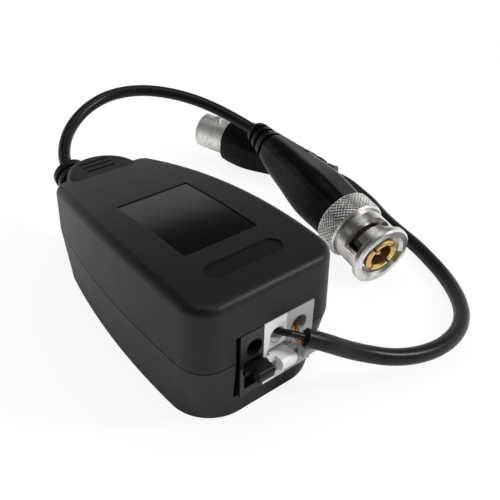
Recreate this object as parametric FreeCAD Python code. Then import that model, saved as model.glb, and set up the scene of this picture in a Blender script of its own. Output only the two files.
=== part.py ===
"""Video ground loop isolator: a small two-shell case with three lever clamp terminals in its front,
a moulded strain relief at its nose, a lead with a bayonet plug and a second lead with a bayonet jack.

Millimetres, +Z up. Everything is laid out with y = 0 on the front of the terminals and z = 0 on the
surface that the case stands on, and is moved at the end so that the origin is the bottom centre of the
case with its levers.
"""
import FreeCAD
import Part

import math
import os

V = FreeCAD.Vector

# Case: overall form
CASE_HALF_WIDTH = 16.17          # at the widest point of the sides
WIDEST_Y = 14.0                  # how far back the widest point is
SIDE_RADIUS = 185.0              # bow of the two long sides, seen from above
FRONT_CORNER = 5.5
CORNER_GROWTH = 0.34              # the front corners get rounder towards the bottom, per millimetre
SMALLEST_CORNER = 0.4
REAR_Y = 57.0                    # rear wall of the body, where the nose starts
REAR_CORNER = 3.2
NOSE_HALF_WIDTH = 8.0
NOSE_CENTRE_Y = 54.9
PARTING_Z = 14.0                 # the two shells meet here
UPPER_DRAFT = 1.3                # degrees
LOWER_DRAFT = 5.2
CROWN_Z = 27.6                   # highest point of the top
CROWN_Y = 17.3
CROWN_RADIUS = 193.0
WALL = 2.0
TOP_EDGE = 1.8                   # rounding of the upper edge
BOTTOM_EDGE = 1.0
NOSE_EDGE = 1.2
JUNCTION_FILLET = 1.0            # inside corner where the nose meets the body
STANDING_SHARE = 0.7             # an edge that rises by more of its span is a standing one
REVEAL = 0.25                    # shadow groove at the parting
REVEAL_DEPTH = 0.35
LIP_HEIGHT = 1.2                 # tongue of the lower shell inside the upper one
LIP_THICKNESS = 0.9
LIP_GAP = 0.1

# Case: recesses of the top
LABEL_HALF_WIDTH = 8.0
LABEL_FRONT = 14.2
LABEL_LENGTH = 22.2
LABEL_DEPTH = 0.2
STADIUM_WIDTH = 16.2
STADIUM_DEPTH_Y = 4.1
STADIUM_Y = 8.15
STADIUM_DEPTH = 0.2
CREASE_Y = 53.8                  # the nose's level top leaves the falling crown here
GRIP_START = 55.9                # shallow grooves across the nose
GRIP_PITCH = 1.8
GRIP_WIDTH = 0.6
GRIP_LENGTH = 6.6
GRIP_DEPTH = 0.25
GRIP_COUNT = 3

# Terminals
PITCH = 5.08
TERMINAL_COLOURS = ("black", "white", "grey")
BLOCK_LEFT = -7.2
BLOCK_BOTTOM = 5.4
BLOCK_HEIGHT = 13.65
BLOCK_DEPTH = 12.0
END_PLATE = 1.26
SIDE_WALL = 0.9
ENTRY_RADIUS = 1.7
ENTRY_Z = 15.4
ENTRY_DEPTH = 8.0
PIN_ROOM = 1.5                   # depth of the hole under the chamber
SLOT_BOTTOM = 6.9                # hollow that the lever works in
SLOT_TOP = 13.0
CHAMBER_FRONT = 5.3              # hollow of the clamp spring
CHAMBER_BACK = 11.0
CHAMBER_TOP = 18.0
OPENING_LEFT_GAP = 0.9           # dark gap in the front wall beside the terminals
OPENING_GAP = 0.06
OPENING_TOP_GAP = 0.15
MODULE_GAP = 0.02

# Levers
PIVOT_Y = 4.0
PIVOT_Z = 11.5
HUB_RADIUS = 1.25
TRUNNION_RADIUS = 0.8
TRUNNION_LENGTH = 0.4
TRUNNION_GAP = 0.06
NECK_GAP = 0.25
TAB_GAP = 0.12
TAB_REACH = 3.3                  # how far the tab stands out of the front
TAB_START = 0.45
TAB_TOP = 12.3
TAB_THICKNESS = 1.1
TAB_SHELF = 1.25                 # the tab is full wide up to here
TAB_STEP = 1.65                  # and narrower on the left beyond it
TAB_LIP = 1.75
TAB_LIP_BOTTOM = 10.0
TAB_LEAN = 0.3                   # the lip's front leans under
TAB_CORNER = 0.9
HEEL_LENGTH = 3.5
HEEL_WIDTH = 1.4

# Clamp springs and contact strips
SPRING_THICKNESS = 0.35
SPRING_BEND = 1.2                # from the chamber's front
SPRING_LIFT = 0.3                # over the chamber's floor
SPRING_CORNER = 1.0
SPRING_KNEE = 1.9
SPRING_SHOULDER = 2.4            # below the tip
SPRING_TIP = 0.9                 # short of the contact strip
SPRING_TIP_DROP = 1.0            # below the middle of the wire entry
STRIP_WIDTH = 3.2
STRIP_THICKNESS = 0.8
STRIP_TOP = 17.2
PIN_WIDTH = 0.8
PIN_TAIL = 1.4                   # what stands out under the board
PIN_HOLE = 0.65

# Circuit board and what stands on it
BOARD_HALF_WIDTH = 9.4
BOARD_FRONT = 3.6
BOARD_LENGTH = 42.4
BOARD_THICKNESS = 1.6
BOARD_NOTCH_GAP = 0.4            # round the screw bosses
STANDOFF_RADIUS = 1.7
STANDOFF_X = 7.0
STANDOFF_ROWS = (16.0, 43.0)
TOROID_Y = 26.0
TOROID_BASE_RADIUS = 8.8
TOROID_BASE_HEIGHT = 1.4
CORE_OUTER = 6.6
CORE_INNER = 3.8
CORE_HEIGHT = 6.0
WINDING_THICKNESS = 0.9
WINDING_SPREAD = 150.0           # degrees that each winding covers
WINDING_TURNS = 13
ARRESTER_RADIUS = 2.6
ARRESTER_LENGTH = 6.4
ARRESTER_PLACE = (-4.6, 39.6)
CAPACITOR_SIZE = (7.2, 3.6, 7.0)
CAPACITOR_PLACE = (4.4, 39.6)
PART_GAP = 0.02                  # between pieces that touch on the board

# Case screws and bosses
SCREW_PLACES = ((-11.9, 10.8), (11.9, 10.8), (0.0, 50.6))
SCREW_RADIUS = 1.1
SCREW_HEAD_RADIUS = 2.0
SCREW_HEAD_HEIGHT = 1.3
SCREW_RECESS = 2.6
SCREW_LENGTH = 16.0
BOSS_WALL = 1.2
SCREW_GAP = 0.2
THREAD_GAP = 0.02
CROSS_REACH = 0.6                # of the head's radius
CROSS_WIDTH = 0.25               # of the shank's radius

# Strain relief at the nose
RELIEF_RADIUS = 38.1             # its bend
RELIEF_TURN = 16.3               # degrees
RELIEF_LEAN = 20.0               # degrees, the bend leans to the right
RELIEF_CORE = 2.8
RELIEF_DISC = 4.0
DISC_THICKNESS = 1.5
DISC_COUNT = 4
DISC_PITCH = 2.5
FLANGE_RIM = 1.0                 # how far the inner flange stands out of the core
FLANGE_THICKNESS = 1.2
RELIEF_GAP = 0.1
CORD_SOCKET_GAP = 0.15           # round a lead inside its boot or relief

# Plug: axis and stations, measured backwards from its mouth
PLUG_MOUTH = (42.3, 11.57, 7.4)
PLUG_AXIS = (0.1292, 0.9771, 0.1671)
NUT_RADIUS = 7.25
NUT_RIM = 1.6
NUT_SLEEVE_RADIUS = 6.3
NUT_BORE = 4.95
NUT_MOUTH = 5.6
NUT_GROOVE_RADIUS = 5.9
NUT_GROOVE = 0.8
KNURL_START = 9.1
KNURL_RADIUS = 7.08              # of the ring under its knurling
NUT_LENGTH = 14.8
NUT_CHAMFER = 0.4
CHAMBER_RADIUS = 5.6
CHAMBER_START = 7.6
REAR_LIP = 2.65
SLOT_RADIUS = 5.9                # keyway through the rim
SLOT_ENTRY_ANGLE = 158.5         # from the right side, over the top
SLOT_ENTRY_SPREAD = 33.0
SLOT_BACK = 6.0
TRACK_FRONT = 3.9
LOCK_ANGLE = 74.0
LOCK_STATION = 4.3
LOCK_RADIUS = 1.4
BAYONET_COUNT = 2
SEAT_GAP = 0.3                   # between the nut's shoulder and the body's flange
FLANGE_LENGTH = 2.0
BODY_TUBE = 4.25
BODY_BORE = 2.4
BODY_END = 20.0
RUNNING_GAP = 0.08
WASHER_TRAVEL = 1.0
WASHER_THICKNESS = 0.8
WASHER_GAP = 0.15
SLEEVE_RADIUS = 4.1
SLEEVE_BORE = 2.65
SLEEVE_FRONT = 0.2
SLEEVE_SLOTS = 4
SLEEVE_SLOT_WIDTH = 0.5
SLEEVE_SLOT_DEPTH = 4.5
GASKET_THICKNESS = 0.8
GASKET_RADIUS = 4.75
INSULATOR_FRONT = 5.0
INSULATOR_TAIL = 12.0
PIN_RADIUS = 0.675
PIN_FRONT = 1.2
FIT_GAP = 0.02                   # pieces moulded or pressed together

# Plug boot
BOOT_ROLL = 17.0
BOOT_STATIONS = (NUT_LENGTH + SEAT_GAP, 17.5, 24.0, 29.0, 33.0, 39.0, 43.5, 47.5, 50.0, 52.3)
BOOT_HALF_WIDTHS = (5.75, 5.8, 6.05, 5.7, 5.25, 4.7, 4.1, 3.5, 3.25, 2.9)
BOOT_CORNERS = (0.62, 0.62, 0.62, 0.64, 0.66, 0.72, 0.8, 0.9, 0.95, 0.98)
BOOT_GROOVES = (45.0, 47.9, 50.4)
GROOVE_WIDTH = 1.1
GROOVE_DEPTH = 0.75
INDEX_STATION = 36.6
INDEX_LENGTH = 3.7
INDEX_WIDTH = 1.2
INDEX_DEPTH = 0.5
INDEX_OFFSET = 1.4
INDEX_HEIGHT = 5.15              # of the boot's side over its axis there

# Jack: from its mouth to its tail
JACK_MOUTH = (50.4, 87.8, 7.4)
JACK_TAIL = (63.4, 47.5, 4.8)
BARREL_RADIUS = 4.8
BARREL_LENGTH = 9.5
BARREL_EDGE = 0.5
BARREL_BORE = 4.15
BARREL_BORE_DEPTH = 9.0
BARREL_STEM = 4.0
BARREL_STEM_LENGTH = 5.0
LUG_STATION = 5.0
LUG_RADIUS = 0.95
LUG_REACH = 5.5
LUG_ANGLE = 82.0
JACK_INSULATOR_RADIUS = 2.35
JACK_INSULATOR_FRONT = 0.9
JACK_CONTACT_RADIUS = 1.05
JACK_CONTACT_BORE = 0.7
JACK_CONTACT_FRONT = 1.6
JACK_CONTACT_DEPTH = 5.0
JACK_ROLL = 0.0
JACK_STATIONS = (BARREL_LENGTH + RELIEF_GAP, 11.5, 14.0, 18.0, 22.0, 26.0, 30.0, 34.0, 38.0, 42.4)
JACK_HALF_WIDTHS = (5.75, 6.05, 6.25, 6.15, 5.65, 5.2, 4.7, 4.15, 3.5, 3.0)
JACK_CORNERS = (0.88, 0.88, 0.88, 0.88, 0.88, 0.88, 0.88, 0.88, 0.9, 0.92)
JACK_GROOVES = (32.0, 36.0, 39.5)

# Leads
PLUG_CORD_DIAMETER = 2.9
JACK_CORD_DIAMETER = 3.3
PLUG_CORD_SOCKET = 4.7           # how deep the lead sits in the boot
JACK_CORD_SOCKET = 4.5
RELIEF_SOCKET = 3.0
EXIT_RUN = 1.0                   # straight run outside each boot
ARC_SHARE = 0.45                 # share of the shorter run that each arc takes up
CORE_WIRE_RADIUS = 0.55
BRAID_RADIUS = 0.45
BRAID_LEAVES = (-0.3, 0.35, -0.95)   # from the middle of the cut jacket
CORE_START = 1.6                 # straight runs out of the cut jacket
BRAID_START = 0.9
WIRE_REACH = 6.0                 # how deep both go into their terminals
INNER_LEAD_RADIUS = 0.6
INNER_LEAD_SPREAD = 1.5
INNER_LEAD_START = 1.6           # straight run behind the flange
INNER_LEAD_GAP = 1.1             # past the rear screw boss
INNER_LEAD_DROP = 3.4            # last run, straight down to the board
INNER_LEAD_LANDING = 1.8         # from the board's rear edge

# Derived places
TAB_FRONT = -TAB_REACH
NOSE_APEX = NOSE_CENTRE_Y + NOSE_HALF_WIDTH
NOSE_START_Y = NOSE_CENTRE_Y - NOSE_HALF_WIDTH
ORIGIN_Y = (NOSE_APEX + TAB_FRONT) / 2
BLOCK_TOP = BLOCK_BOTTOM + BLOCK_HEIGHT
BLOCK_RIGHT = BLOCK_LEFT + 3 * PITCH + END_PLATE
BOARD_BOTTOM = BLOCK_BOTTOM - BOARD_THICKNESS
RELIEF_Z = PARTING_Z
FLANGE_RADIUS = RELIEF_CORE + FLANGE_RIM


def box(x0, x1, y0, y1, z0, z1):
    """Return a block between two corners."""
    return Part.makeBox(x1 - x0, y1 - y0, z1 - z0, V(x0, y0, z0))


def rod(start, end, radius):
    """Return a round bar from one point to another."""
    way = V(*end) - V(*start)
    return Part.makeCylinder(radius, way.Length, V(*start), way)


def turned(profile):
    """Return the solid that a closed (radius, station) profile makes when turned about Z."""
    points = [V(r, 0, s) for r, s in profile]
    wire = Part.makePolygon(points + points[:1])
    return Part.Face(wire).revolve(V(0, 0, 0), V(0, 0, 1), 360)


def prism(profile, x0, x1):
    """Return a (y, z) profile drawn out along X."""
    points = [V(x0, y, z) for y, z in profile]
    wire = Part.makePolygon(points + points[:1])
    return Part.Face(wire).extrude(V(x1 - x0, 0, 0))


def sector(radius, start, end, angle, spread):
    """Return a pie slice about Z between two stations, centred on an angle in degrees."""
    pie = Part.makeCylinder(radius, end - start, V(0, 0, start), V(0, 0, 1), spread)
    pie.rotate(V(0, 0, 0), V(0, 0, 1), angle - spread / 2)
    return pie


def fuse_all(shapes):
    """Return all the shapes as one, with no seams left between them."""
    return shapes[0].multiFuse(shapes[1:]).removeSplitter()


def axis_frame(start, axis):
    """Return the placement whose Z runs backwards along an axis and whose X stays level."""
    back = V(*axis).normalize()
    side = back.cross(V(0, 0, 1)).normalize()
    return FreeCAD.Placement(V(*start), FreeCAD.Rotation(side, back.cross(side), back, "ZXY"))


def along(start, axis, distance):
    """Return the point at a distance along an axis."""
    return V(*start) + V(*axis).normalize() * distance


def tangent_arc(first, last, centre, radius):
    """Return the shorter arc between two points of a circle."""
    middle = centre + ((first + last) * 0.5 - centre).normalize() * radius
    return Part.Arc(first, middle, last).toShape()


# Outlines of the case

def body_plan(inset, z):
    """Return the body's outline at a height, drawn inwards by an inset: bowed sides, round corners."""
    bow = SIDE_RADIUS - inset
    bow_x = CASE_HALF_WIDTH - SIDE_RADIUS
    front_corner = FRONT_CORNER + max(PARTING_Z - z, 0) * CORNER_GROWTH
    edges = []
    ends = []
    for line_y, corner, sign in ((inset, front_corner, 1), (REAR_Y - inset, REAR_CORNER, -1)):
        radius = max(corner - inset, SMALLEST_CORNER)
        cy = line_y + sign * radius
        cx = bow_x + math.sqrt((bow - radius) ** 2 - (cy - WIDEST_Y) ** 2)
        centre = V(cx, cy, z)
        hub = V(bow_x, WIDEST_Y, z)
        side = hub + (centre - hub).normalize() * bow
        ends.append((V(cx, line_y, z), side, centre, radius))

    def mirrored(point):
        return V(-point.x, point.y, point.z)

    (front, front_side, front_middle, front_radius), (rear, rear_side, rear_middle, rear_radius) = ends
    hub = V(bow_x, WIDEST_Y, z)
    edges.append(Part.makeLine(mirrored(front), front))
    edges.append(tangent_arc(front, front_side, front_middle, front_radius))
    edges.append(tangent_arc(front_side, rear_side, hub, bow))
    edges.append(tangent_arc(rear_side, rear, rear_middle, rear_radius))
    edges.append(Part.makeLine(rear, mirrored(rear)))
    edges.append(tangent_arc(mirrored(rear), mirrored(rear_side), mirrored(rear_middle), rear_radius))
    edges.append(tangent_arc(mirrored(rear_side), mirrored(front_side), mirrored(hub), bow))
    edges.append(tangent_arc(mirrored(front_side), mirrored(front), mirrored(front_middle), front_radius))
    return Part.Wire(edges)


def nose_plan(inset, z):
    """Return the nose's outline at a height: straight sides from inside the body to a half circle."""
    radius = NOSE_HALF_WIDTH - inset
    left = (V(-radius, NOSE_CENTRE_Y, z), V(-radius, NOSE_START_Y, z))
    right = (V(radius, NOSE_START_Y, z), V(radius, NOSE_CENTRE_Y, z))
    corners = left + right
    tip = V(0, NOSE_CENTRE_Y + radius, z)
    edges = [Part.makeLine(a, b) for a, b in zip(corners, corners[1:])]
    edges.append(Part.Arc(corners[3], tip, corners[0]).toShape())
    return Part.Wire(edges)


def tapered(plan, low_z, low_inset, high_z, high_inset):
    """Return the solid between two insets of one outline."""
    return Part.makeLoft([plan(low_inset, low_z), plan(high_inset, high_z)], True, True)


def upper_inset(z):
    """Return how far the upper wall leans in at a height."""
    return (z - PARTING_Z) * math.tan(math.radians(UPPER_DRAFT))


def lower_inset(z):
    """Return how far the lower wall leans in at a height."""
    return (PARTING_Z - z) * math.tan(math.radians(LOWER_DRAFT))


def crown_z(y):
    """Return the height of the crowned top at a place along the case."""
    return CROWN_Z - CROWN_RADIUS + math.sqrt(CROWN_RADIUS ** 2 - (y - CROWN_Y) ** 2)


def under_crown(depth):
    """Return everything that lies at least a depth under the crown."""
    centre = V(-CASE_HALF_WIDTH * 2, CROWN_Y, CROWN_Z - CROWN_RADIUS)
    return Part.makeCylinder(CROWN_RADIUS - depth, CASE_HALF_WIDTH * 4, centre, V(1, 0, 0))


def under_nose_top(depth):
    """Return everything that lies at least a depth under the level top of the nose."""
    half = 2 * NOSE_HALF_WIDTH
    return box(-half, half, NOSE_START_Y - half, NOSE_APEX + half, 0, crown_z(CREASE_Y) - depth)


def edges_above(shape, height):
    """Return the edges of the top rim: above a height and not standing."""
    chosen = []
    for edge in shape.Edges:
        span = edge.BoundBox
        if span.ZMin > height and span.ZLength < span.DiagonalLength * STANDING_SHARE:
            chosen.append(edge)
    return chosen


def case_block():
    """Return the closed upper and lower halves before they are hollowed."""
    high_z = CROWN_Z + WALL
    body = tapered(body_plan, PARTING_Z, 0, high_z, upper_inset(high_z)).common(under_crown(0))
    body = body.makeFillet(TOP_EDGE, edges_above(body, PARTING_Z + WALL))
    nose = tapered(nose_plan, PARTING_Z, 0, high_z, upper_inset(high_z)).common(under_nose_top(0))
    rim = [e for e in edges_above(nose, PARTING_Z + WALL) if e.BoundBox.YMax > NOSE_START_Y + NOSE_EDGE]
    nose = nose.makeFillet(NOSE_EDGE, rim)
    behind = box(-CASE_HALF_WIDTH, CASE_HALF_WIDTH, CREASE_Y, NOSE_APEX + WALL, 0, high_z)
    upper = body.fuse(nose.common(behind)).removeSplitter()

    base = tapered(body_plan, 0, lower_inset(0), PARTING_Z, 0)
    keel = tapered(nose_plan, 0, lower_inset(0), PARTING_Z, 0)
    lower = soften_junction(base.fuse(keel).removeSplitter())
    lower = lower.makeFillet(BOTTOM_EDGE, [e for e in lower.Edges if e.BoundBox.ZMax < BOTTOM_EDGE / 2])
    return soften_junction(upper), lower


def soften_junction(shape):
    """Round the two inside corners where the nose meets the body."""
    standing = []
    for edge in shape.Edges:
        span = edge.BoundBox
        near = abs(span.Center.y - REAR_Y) < WALL and abs(abs(span.Center.x) - NOSE_HALF_WIDTH) < WALL
        if near and span.ZLength > PARTING_Z / 2:
            standing.append(edge)
    return shape.makeFillet(JUNCTION_FILLET, standing)


def hollow(low_z, high_z, inset_of):
    """Return the space inside the walls between two heights, of the body and of the nose."""
    low = inset_of(low_z) + WALL
    high = inset_of(high_z) + WALL
    return tapered(body_plan, low_z, low, high_z, high), tapered(nose_plan, low_z, low, high_z, high)


def parting_ring(outer, inner, low_z, high_z):
    """Return a band that follows the outline between two insets."""
    rings = []
    for inset in (outer, inner):
        body = tapered(body_plan, low_z, inset, high_z, inset)
        rings.append(body.fuse(tapered(nose_plan, low_z, inset, high_z, inset)))
    return rings[0].cut(rings[1])


def front_opening():
    """Return the hole in the front wall that the terminals look out of."""
    left = BLOCK_LEFT - OPENING_LEFT_GAP
    right = BLOCK_RIGHT + OPENING_GAP
    return box(left, right, -WALL, BLOCK_DEPTH, BLOCK_BOTTOM - OPENING_GAP, BLOCK_TOP + OPENING_TOP_GAP)


def relief_hole():
    """Return the hole of the strain relief, half in each shell."""
    return rod((0, NOSE_CENTRE_Y, RELIEF_Z), (0, NOSE_APEX + WALL, RELIEF_Z), RELIEF_CORE + RELIEF_GAP)


def stadium():
    """Return the long round-ended cutter of the small recess."""
    radius = STADIUM_DEPTH_Y / 2
    reach = STADIUM_WIDTH / 2 - radius
    low = crown_z(STADIUM_Y) - WALL
    middle = box(-reach, reach, STADIUM_Y - radius, STADIUM_Y + radius, low, CROWN_Z + WALL)
    ends = [Part.makeCylinder(radius, CROWN_Z + WALL - low, V(x, STADIUM_Y, low)) for x in (-reach, reach)]
    return fuse_all([middle] + ends)


def upper_case(block):
    """Return the upper shell: crowned top, two recesses, nose with grip grooves, screw bosses."""
    body, nose = hollow(PARTING_Z, CROWN_Z, upper_inset)
    shell = block.cut(body.common(under_crown(WALL))).cut(nose.common(under_nose_top(WALL)))
    ring_outer = WALL - LIP_THICKNESS - LIP_GAP
    ring_top = PARTING_Z + LIP_HEIGHT + LIP_GAP
    shell = shell.cut(parting_ring(ring_outer, WALL + LIP_GAP, PARTING_Z, ring_top))
    label_back = LABEL_FRONT + LABEL_LENGTH
    label = box(-LABEL_HALF_WIDTH, LABEL_HALF_WIDTH, LABEL_FRONT, label_back, PARTING_Z, CROWN_Z + WALL)
    shell = shell.cut(label.cut(under_crown(LABEL_DEPTH)))
    shell = shell.cut(stadium().cut(under_crown(STADIUM_DEPTH)))
    for groove in grip_grooves():
        shell = shell.cut(groove)
    for x, y in SCREW_PLACES:
        foot = PARTING_Z + LIP_HEIGHT
        boss = Part.makeCylinder(SCREW_RADIUS + BOSS_WALL, crown_z(y) - WALL / 2 - foot, V(x, y, foot))
        pilot = Part.makeCylinder(SCREW_RADIUS + THREAD_GAP, SCREW_LENGTH, V(x, y, SCREW_RECESS))
        shell = shell.fuse(boss).cut(pilot)
    return shell.cut(front_opening()).cut(relief_hole()).removeSplitter()


def grip_grooves():
    """Return the cutters of the short grooves across the nose's top."""
    low = crown_z(CREASE_Y) - GRIP_DEPTH
    half = GRIP_LENGTH / 2
    places = [GRIP_START + index * GRIP_PITCH for index in range(GRIP_COUNT)]
    return [box(-half, half, y, y + GRIP_WIDTH, low, CROWN_Z) for y in places]


def lower_case(block):
    """Return the lower shell: floor, locating lip, board standoffs, screw bosses."""
    body, nose = hollow(WALL, PARTING_Z, lower_inset)
    shell = block.cut(body).cut(nose)
    shell = shell.fuse(parting_ring(WALL - LIP_THICKNESS, WALL, PARTING_Z - WALL, PARTING_Z + LIP_HEIGHT))
    shell = shell.cut(parting_ring(-REVEAL_DEPTH, REVEAL_DEPTH, PARTING_Z - REVEAL, PARTING_Z + REVEAL / 2))
    foot = WALL / 2
    for y in STANDOFF_ROWS:
        for x in (-STANDOFF_X, STANDOFF_X):
            shell = shell.fuse(Part.makeCylinder(STANDOFF_RADIUS, BOARD_BOTTOM - foot, V(x, y, foot)))
    for x, y in SCREW_PLACES:
        boss = Part.makeCylinder(SCREW_HEAD_RADIUS + BOSS_WALL, PARTING_Z - foot, V(x, y, foot))
        inside = tapered(body_plan, 0, lower_inset(0) + foot, PARTING_Z, foot)
        shell = shell.fuse(boss.common(inside))
        shell = shell.cut(Part.makeCylinder(SCREW_RADIUS + SCREW_GAP, PARTING_Z + LIP_HEIGHT, V(x, y, 0)))
        shell = shell.cut(Part.makeCylinder(SCREW_HEAD_RADIUS + SCREW_GAP, SCREW_RECESS, V(x, y, 0)))
    return shell.cut(front_opening()).cut(relief_hole()).removeSplitter()


def case_screws():
    """Return the screws that hold the shells together, as separate solids."""
    screws = []
    for x, y in SCREW_PLACES:
        low = SCREW_RECESS - SCREW_HEAD_HEIGHT
        head = Part.makeCylinder(SCREW_HEAD_RADIUS, SCREW_HEAD_HEIGHT, V(x, y, low))
        shank = Part.makeCylinder(SCREW_RADIUS, SCREW_LENGTH - SCREW_HEAD_HEIGHT, V(x, y, SCREW_RECESS))
        arm = SCREW_HEAD_RADIUS * CROSS_REACH
        slot = SCREW_RADIUS * CROSS_WIDTH
        cross = box(x - arm, x + arm, y - slot, y + slot, low, low + SCREW_HEAD_HEIGHT / 2)
        cross = cross.fuse(box(x - slot, x + slot, y - arm, y + arm, low, low + SCREW_HEAD_HEIGHT / 2))
        screws.append(head.fuse(shank).cut(cross).removeSplitter())
    return Part.makeCompound(screws)


# Terminals

def module_left(index):
    """Return the left edge of a terminal module."""
    return BLOCK_LEFT + index * PITCH


def entry_x(index):
    """Return the middle of a module's hollow, where its wire goes in."""
    return module_left(index) + (SIDE_WALL + PITCH) / 2


def terminal(index):
    """Return one terminal housing: side wall, wire entry, lever slot and spring chamber."""
    left = module_left(index)
    last = index == len(TERMINAL_COLOURS) - 1
    right = left + PITCH + (END_PLATE if last else -MODULE_GAP)
    cavity_right = left + PITCH if last else right + WALL
    cavity_left = left + SIDE_WALL
    body = box(left, right, 0, BLOCK_DEPTH, BLOCK_BOTTOM, BLOCK_TOP)
    entry = rod((entry_x(index), -1, ENTRY_Z), (entry_x(index), ENTRY_DEPTH, ENTRY_Z), ENTRY_RADIUS)
    slot = box(cavity_left, cavity_right, -1, CHAMBER_FRONT, SLOT_BOTTOM, SLOT_TOP)
    chamber = box(cavity_left, cavity_right, CHAMBER_FRONT, CHAMBER_BACK, SLOT_BOTTOM, CHAMBER_TOP)
    x = entry_x(index)
    pin = box(x - PIN_HOLE, x + PIN_HOLE, CHAMBER_BACK - PIN_ROOM, CHAMBER_BACK, 0, SLOT_BOTTOM)
    bearing_length = TRUNNION_LENGTH + TRUNNION_GAP
    bearing_radius = TRUNNION_RADIUS + TRUNNION_GAP
    first_wall = cavity_left - bearing_length if index == 0 else left - 1
    bearing = rod((first_wall, PIVOT_Y, PIVOT_Z), (cavity_left + 1, PIVOT_Y, PIVOT_Z), bearing_radius)
    body = body.cut(entry).cut(slot).cut(chamber).cut(pin).cut(bearing)
    if last:
        end = left + PITCH
        blind = rod((end - 1, PIVOT_Y, PIVOT_Z), (end + bearing_length, PIVOT_Y, PIVOT_Z), bearing_radius)
        body = body.cut(blind)
    return body.removeSplitter()


def lever(index):
    """Return one lever: shelf, narrower finger tab with a thick lip, hub with trunnions, heel."""
    left = module_left(index)
    neck_left = left + SIDE_WALL + NECK_GAP
    neck_right = left + PITCH - NECK_GAP
    low = TAB_TOP - TAB_THICKNESS
    neck = box(neck_left, neck_right, -TAB_START, PIVOT_Y, low, TAB_TOP)
    hub = rod((neck_left, PIVOT_Y, PIVOT_Z), (neck_right, PIVOT_Y, PIVOT_Z), HUB_RADIUS)
    pins = rod((left + SIDE_WALL - TRUNNION_LENGTH, PIVOT_Y, PIVOT_Z),
               (left + PITCH + TRUNNION_LENGTH, PIVOT_Y, PIVOT_Z), TRUNNION_RADIUS)
    half = HEEL_WIDTH / 2
    heel = box(neck_left, neck_right, PIVOT_Y - half, PIVOT_Y + half, PIVOT_Z - HEEL_LENGTH, PIVOT_Z)
    right = left + PITCH - TAB_GAP
    shelf = box(left + TAB_GAP, right, -TAB_SHELF, -TAB_START, low, TAB_TOP)
    notch = TAB_FRONT + TAB_LIP
    toe = TAB_FRONT + TAB_LEAN
    profile = ((-TAB_START, low), (notch, low), (notch, TAB_LIP_BOTTOM), (toe, TAB_LIP_BOTTOM),
               (TAB_FRONT, low), (TAB_FRONT, TAB_TOP), (-TAB_START, TAB_TOP))
    tab = prism(profile, left + TAB_STEP, right)
    corner = [e for e in tab.Edges if e.BoundBox.ZMin > low + TAB_LEAN and e.BoundBox.YMax < toe]
    tab = tab.makeFillet(TAB_CORNER, corner)
    return fuse_all([neck, hub, pins, heel, shelf, tab])


def clamp_spring(index):
    """Return one bent leaf that presses the wire on the contact strip."""
    middle = entry_x(index)
    back = CHAMBER_BACK - STRIP_THICKNESS - PART_GAP
    t = SPRING_THICKNESS
    bend = CHAMBER_FRONT + SPRING_BEND
    tip = back - SPRING_TIP
    tip_z = ENTRY_Z - SPRING_TIP_DROP
    low = SLOT_BOTTOM + SPRING_LIFT
    knee = low + SPRING_KNEE
    shoulder = tip_z - SPRING_SHOULDER
    outer = ((back, low), (bend + SPRING_CORNER, low), (bend, knee), (bend, shoulder), (tip, tip_z))
    inner = ((tip, tip_z - 1.6 * t), (bend + t, shoulder - 0.5 * t), (bend + t, knee + 0.3 * t),
             (bend + SPRING_CORNER + 0.6 * t, low + t), (back, low + t))
    return prism(outer + inner, middle - STRIP_WIDTH / 2, middle + STRIP_WIDTH / 2)


def contact_strip(index):
    """Return one contact strip with its solder pin through the board."""
    middle = entry_x(index)
    front = CHAMBER_BACK - STRIP_THICKNESS
    strip = box(middle - STRIP_WIDTH / 2, middle + STRIP_WIDTH / 2, front, CHAMBER_BACK - PART_GAP,
                SLOT_BOTTOM + PART_GAP, STRIP_TOP)
    pin = box(middle - PIN_WIDTH / 2, middle + PIN_WIDTH / 2, front, CHAMBER_BACK - PART_GAP - 0.1,
              BOARD_BOTTOM - PIN_TAIL, STRIP_TOP)
    return strip.fuse(pin).removeSplitter()


# Inside of the case

def circuit_board():
    """Return the board with holes for the terminal pins."""
    back = BOARD_FRONT + BOARD_LENGTH
    board = box(-BOARD_HALF_WIDTH, BOARD_HALF_WIDTH, BOARD_FRONT, back, BOARD_BOTTOM, BLOCK_BOTTOM)
    low = BOARD_BOTTOM - BOARD_THICKNESS / 2
    for index in range(len(TERMINAL_COLOURS)):
        y = CHAMBER_BACK - STRIP_THICKNESS / 2
        board = board.cut(Part.makeCylinder(PIN_HOLE, 2 * BOARD_THICKNESS, V(entry_x(index), y, low)))
    for x, y in SCREW_PLACES:
        notch = SCREW_HEAD_RADIUS + BOSS_WALL + BOARD_NOTCH_GAP
        board = board.cut(Part.makeCylinder(notch, 2 * BOARD_THICKNESS, V(x, y, low)))
    return board


def transformer_base():
    """Return the plastic disc that carries the toroid, with its centring post."""
    z = BLOCK_BOTTOM
    disc = Part.makeCylinder(TOROID_BASE_RADIUS, TOROID_BASE_HEIGHT, V(0, TOROID_Y, z))
    post_radius = CORE_INNER - WINDING_THICKNESS - PART_GAP * 5
    post = Part.makeCylinder(post_radius, TOROID_BASE_HEIGHT + CORE_HEIGHT, V(0, TOROID_Y, z))
    return disc.fuse(post).removeSplitter()


def core_bottom():
    """Return the height of the core's lower face."""
    return BLOCK_BOTTOM + TOROID_BASE_HEIGHT + WINDING_THICKNESS + 2 * PART_GAP


def transformer_core():
    """Return the ferrite ring."""
    low = core_bottom()
    high = low + CORE_HEIGHT
    ring = turned(((CORE_INNER, low), (CORE_OUTER, low), (CORE_OUTER, high), (CORE_INNER, high)))
    ring.translate(V(0, TOROID_Y, 0))
    return ring


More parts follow.
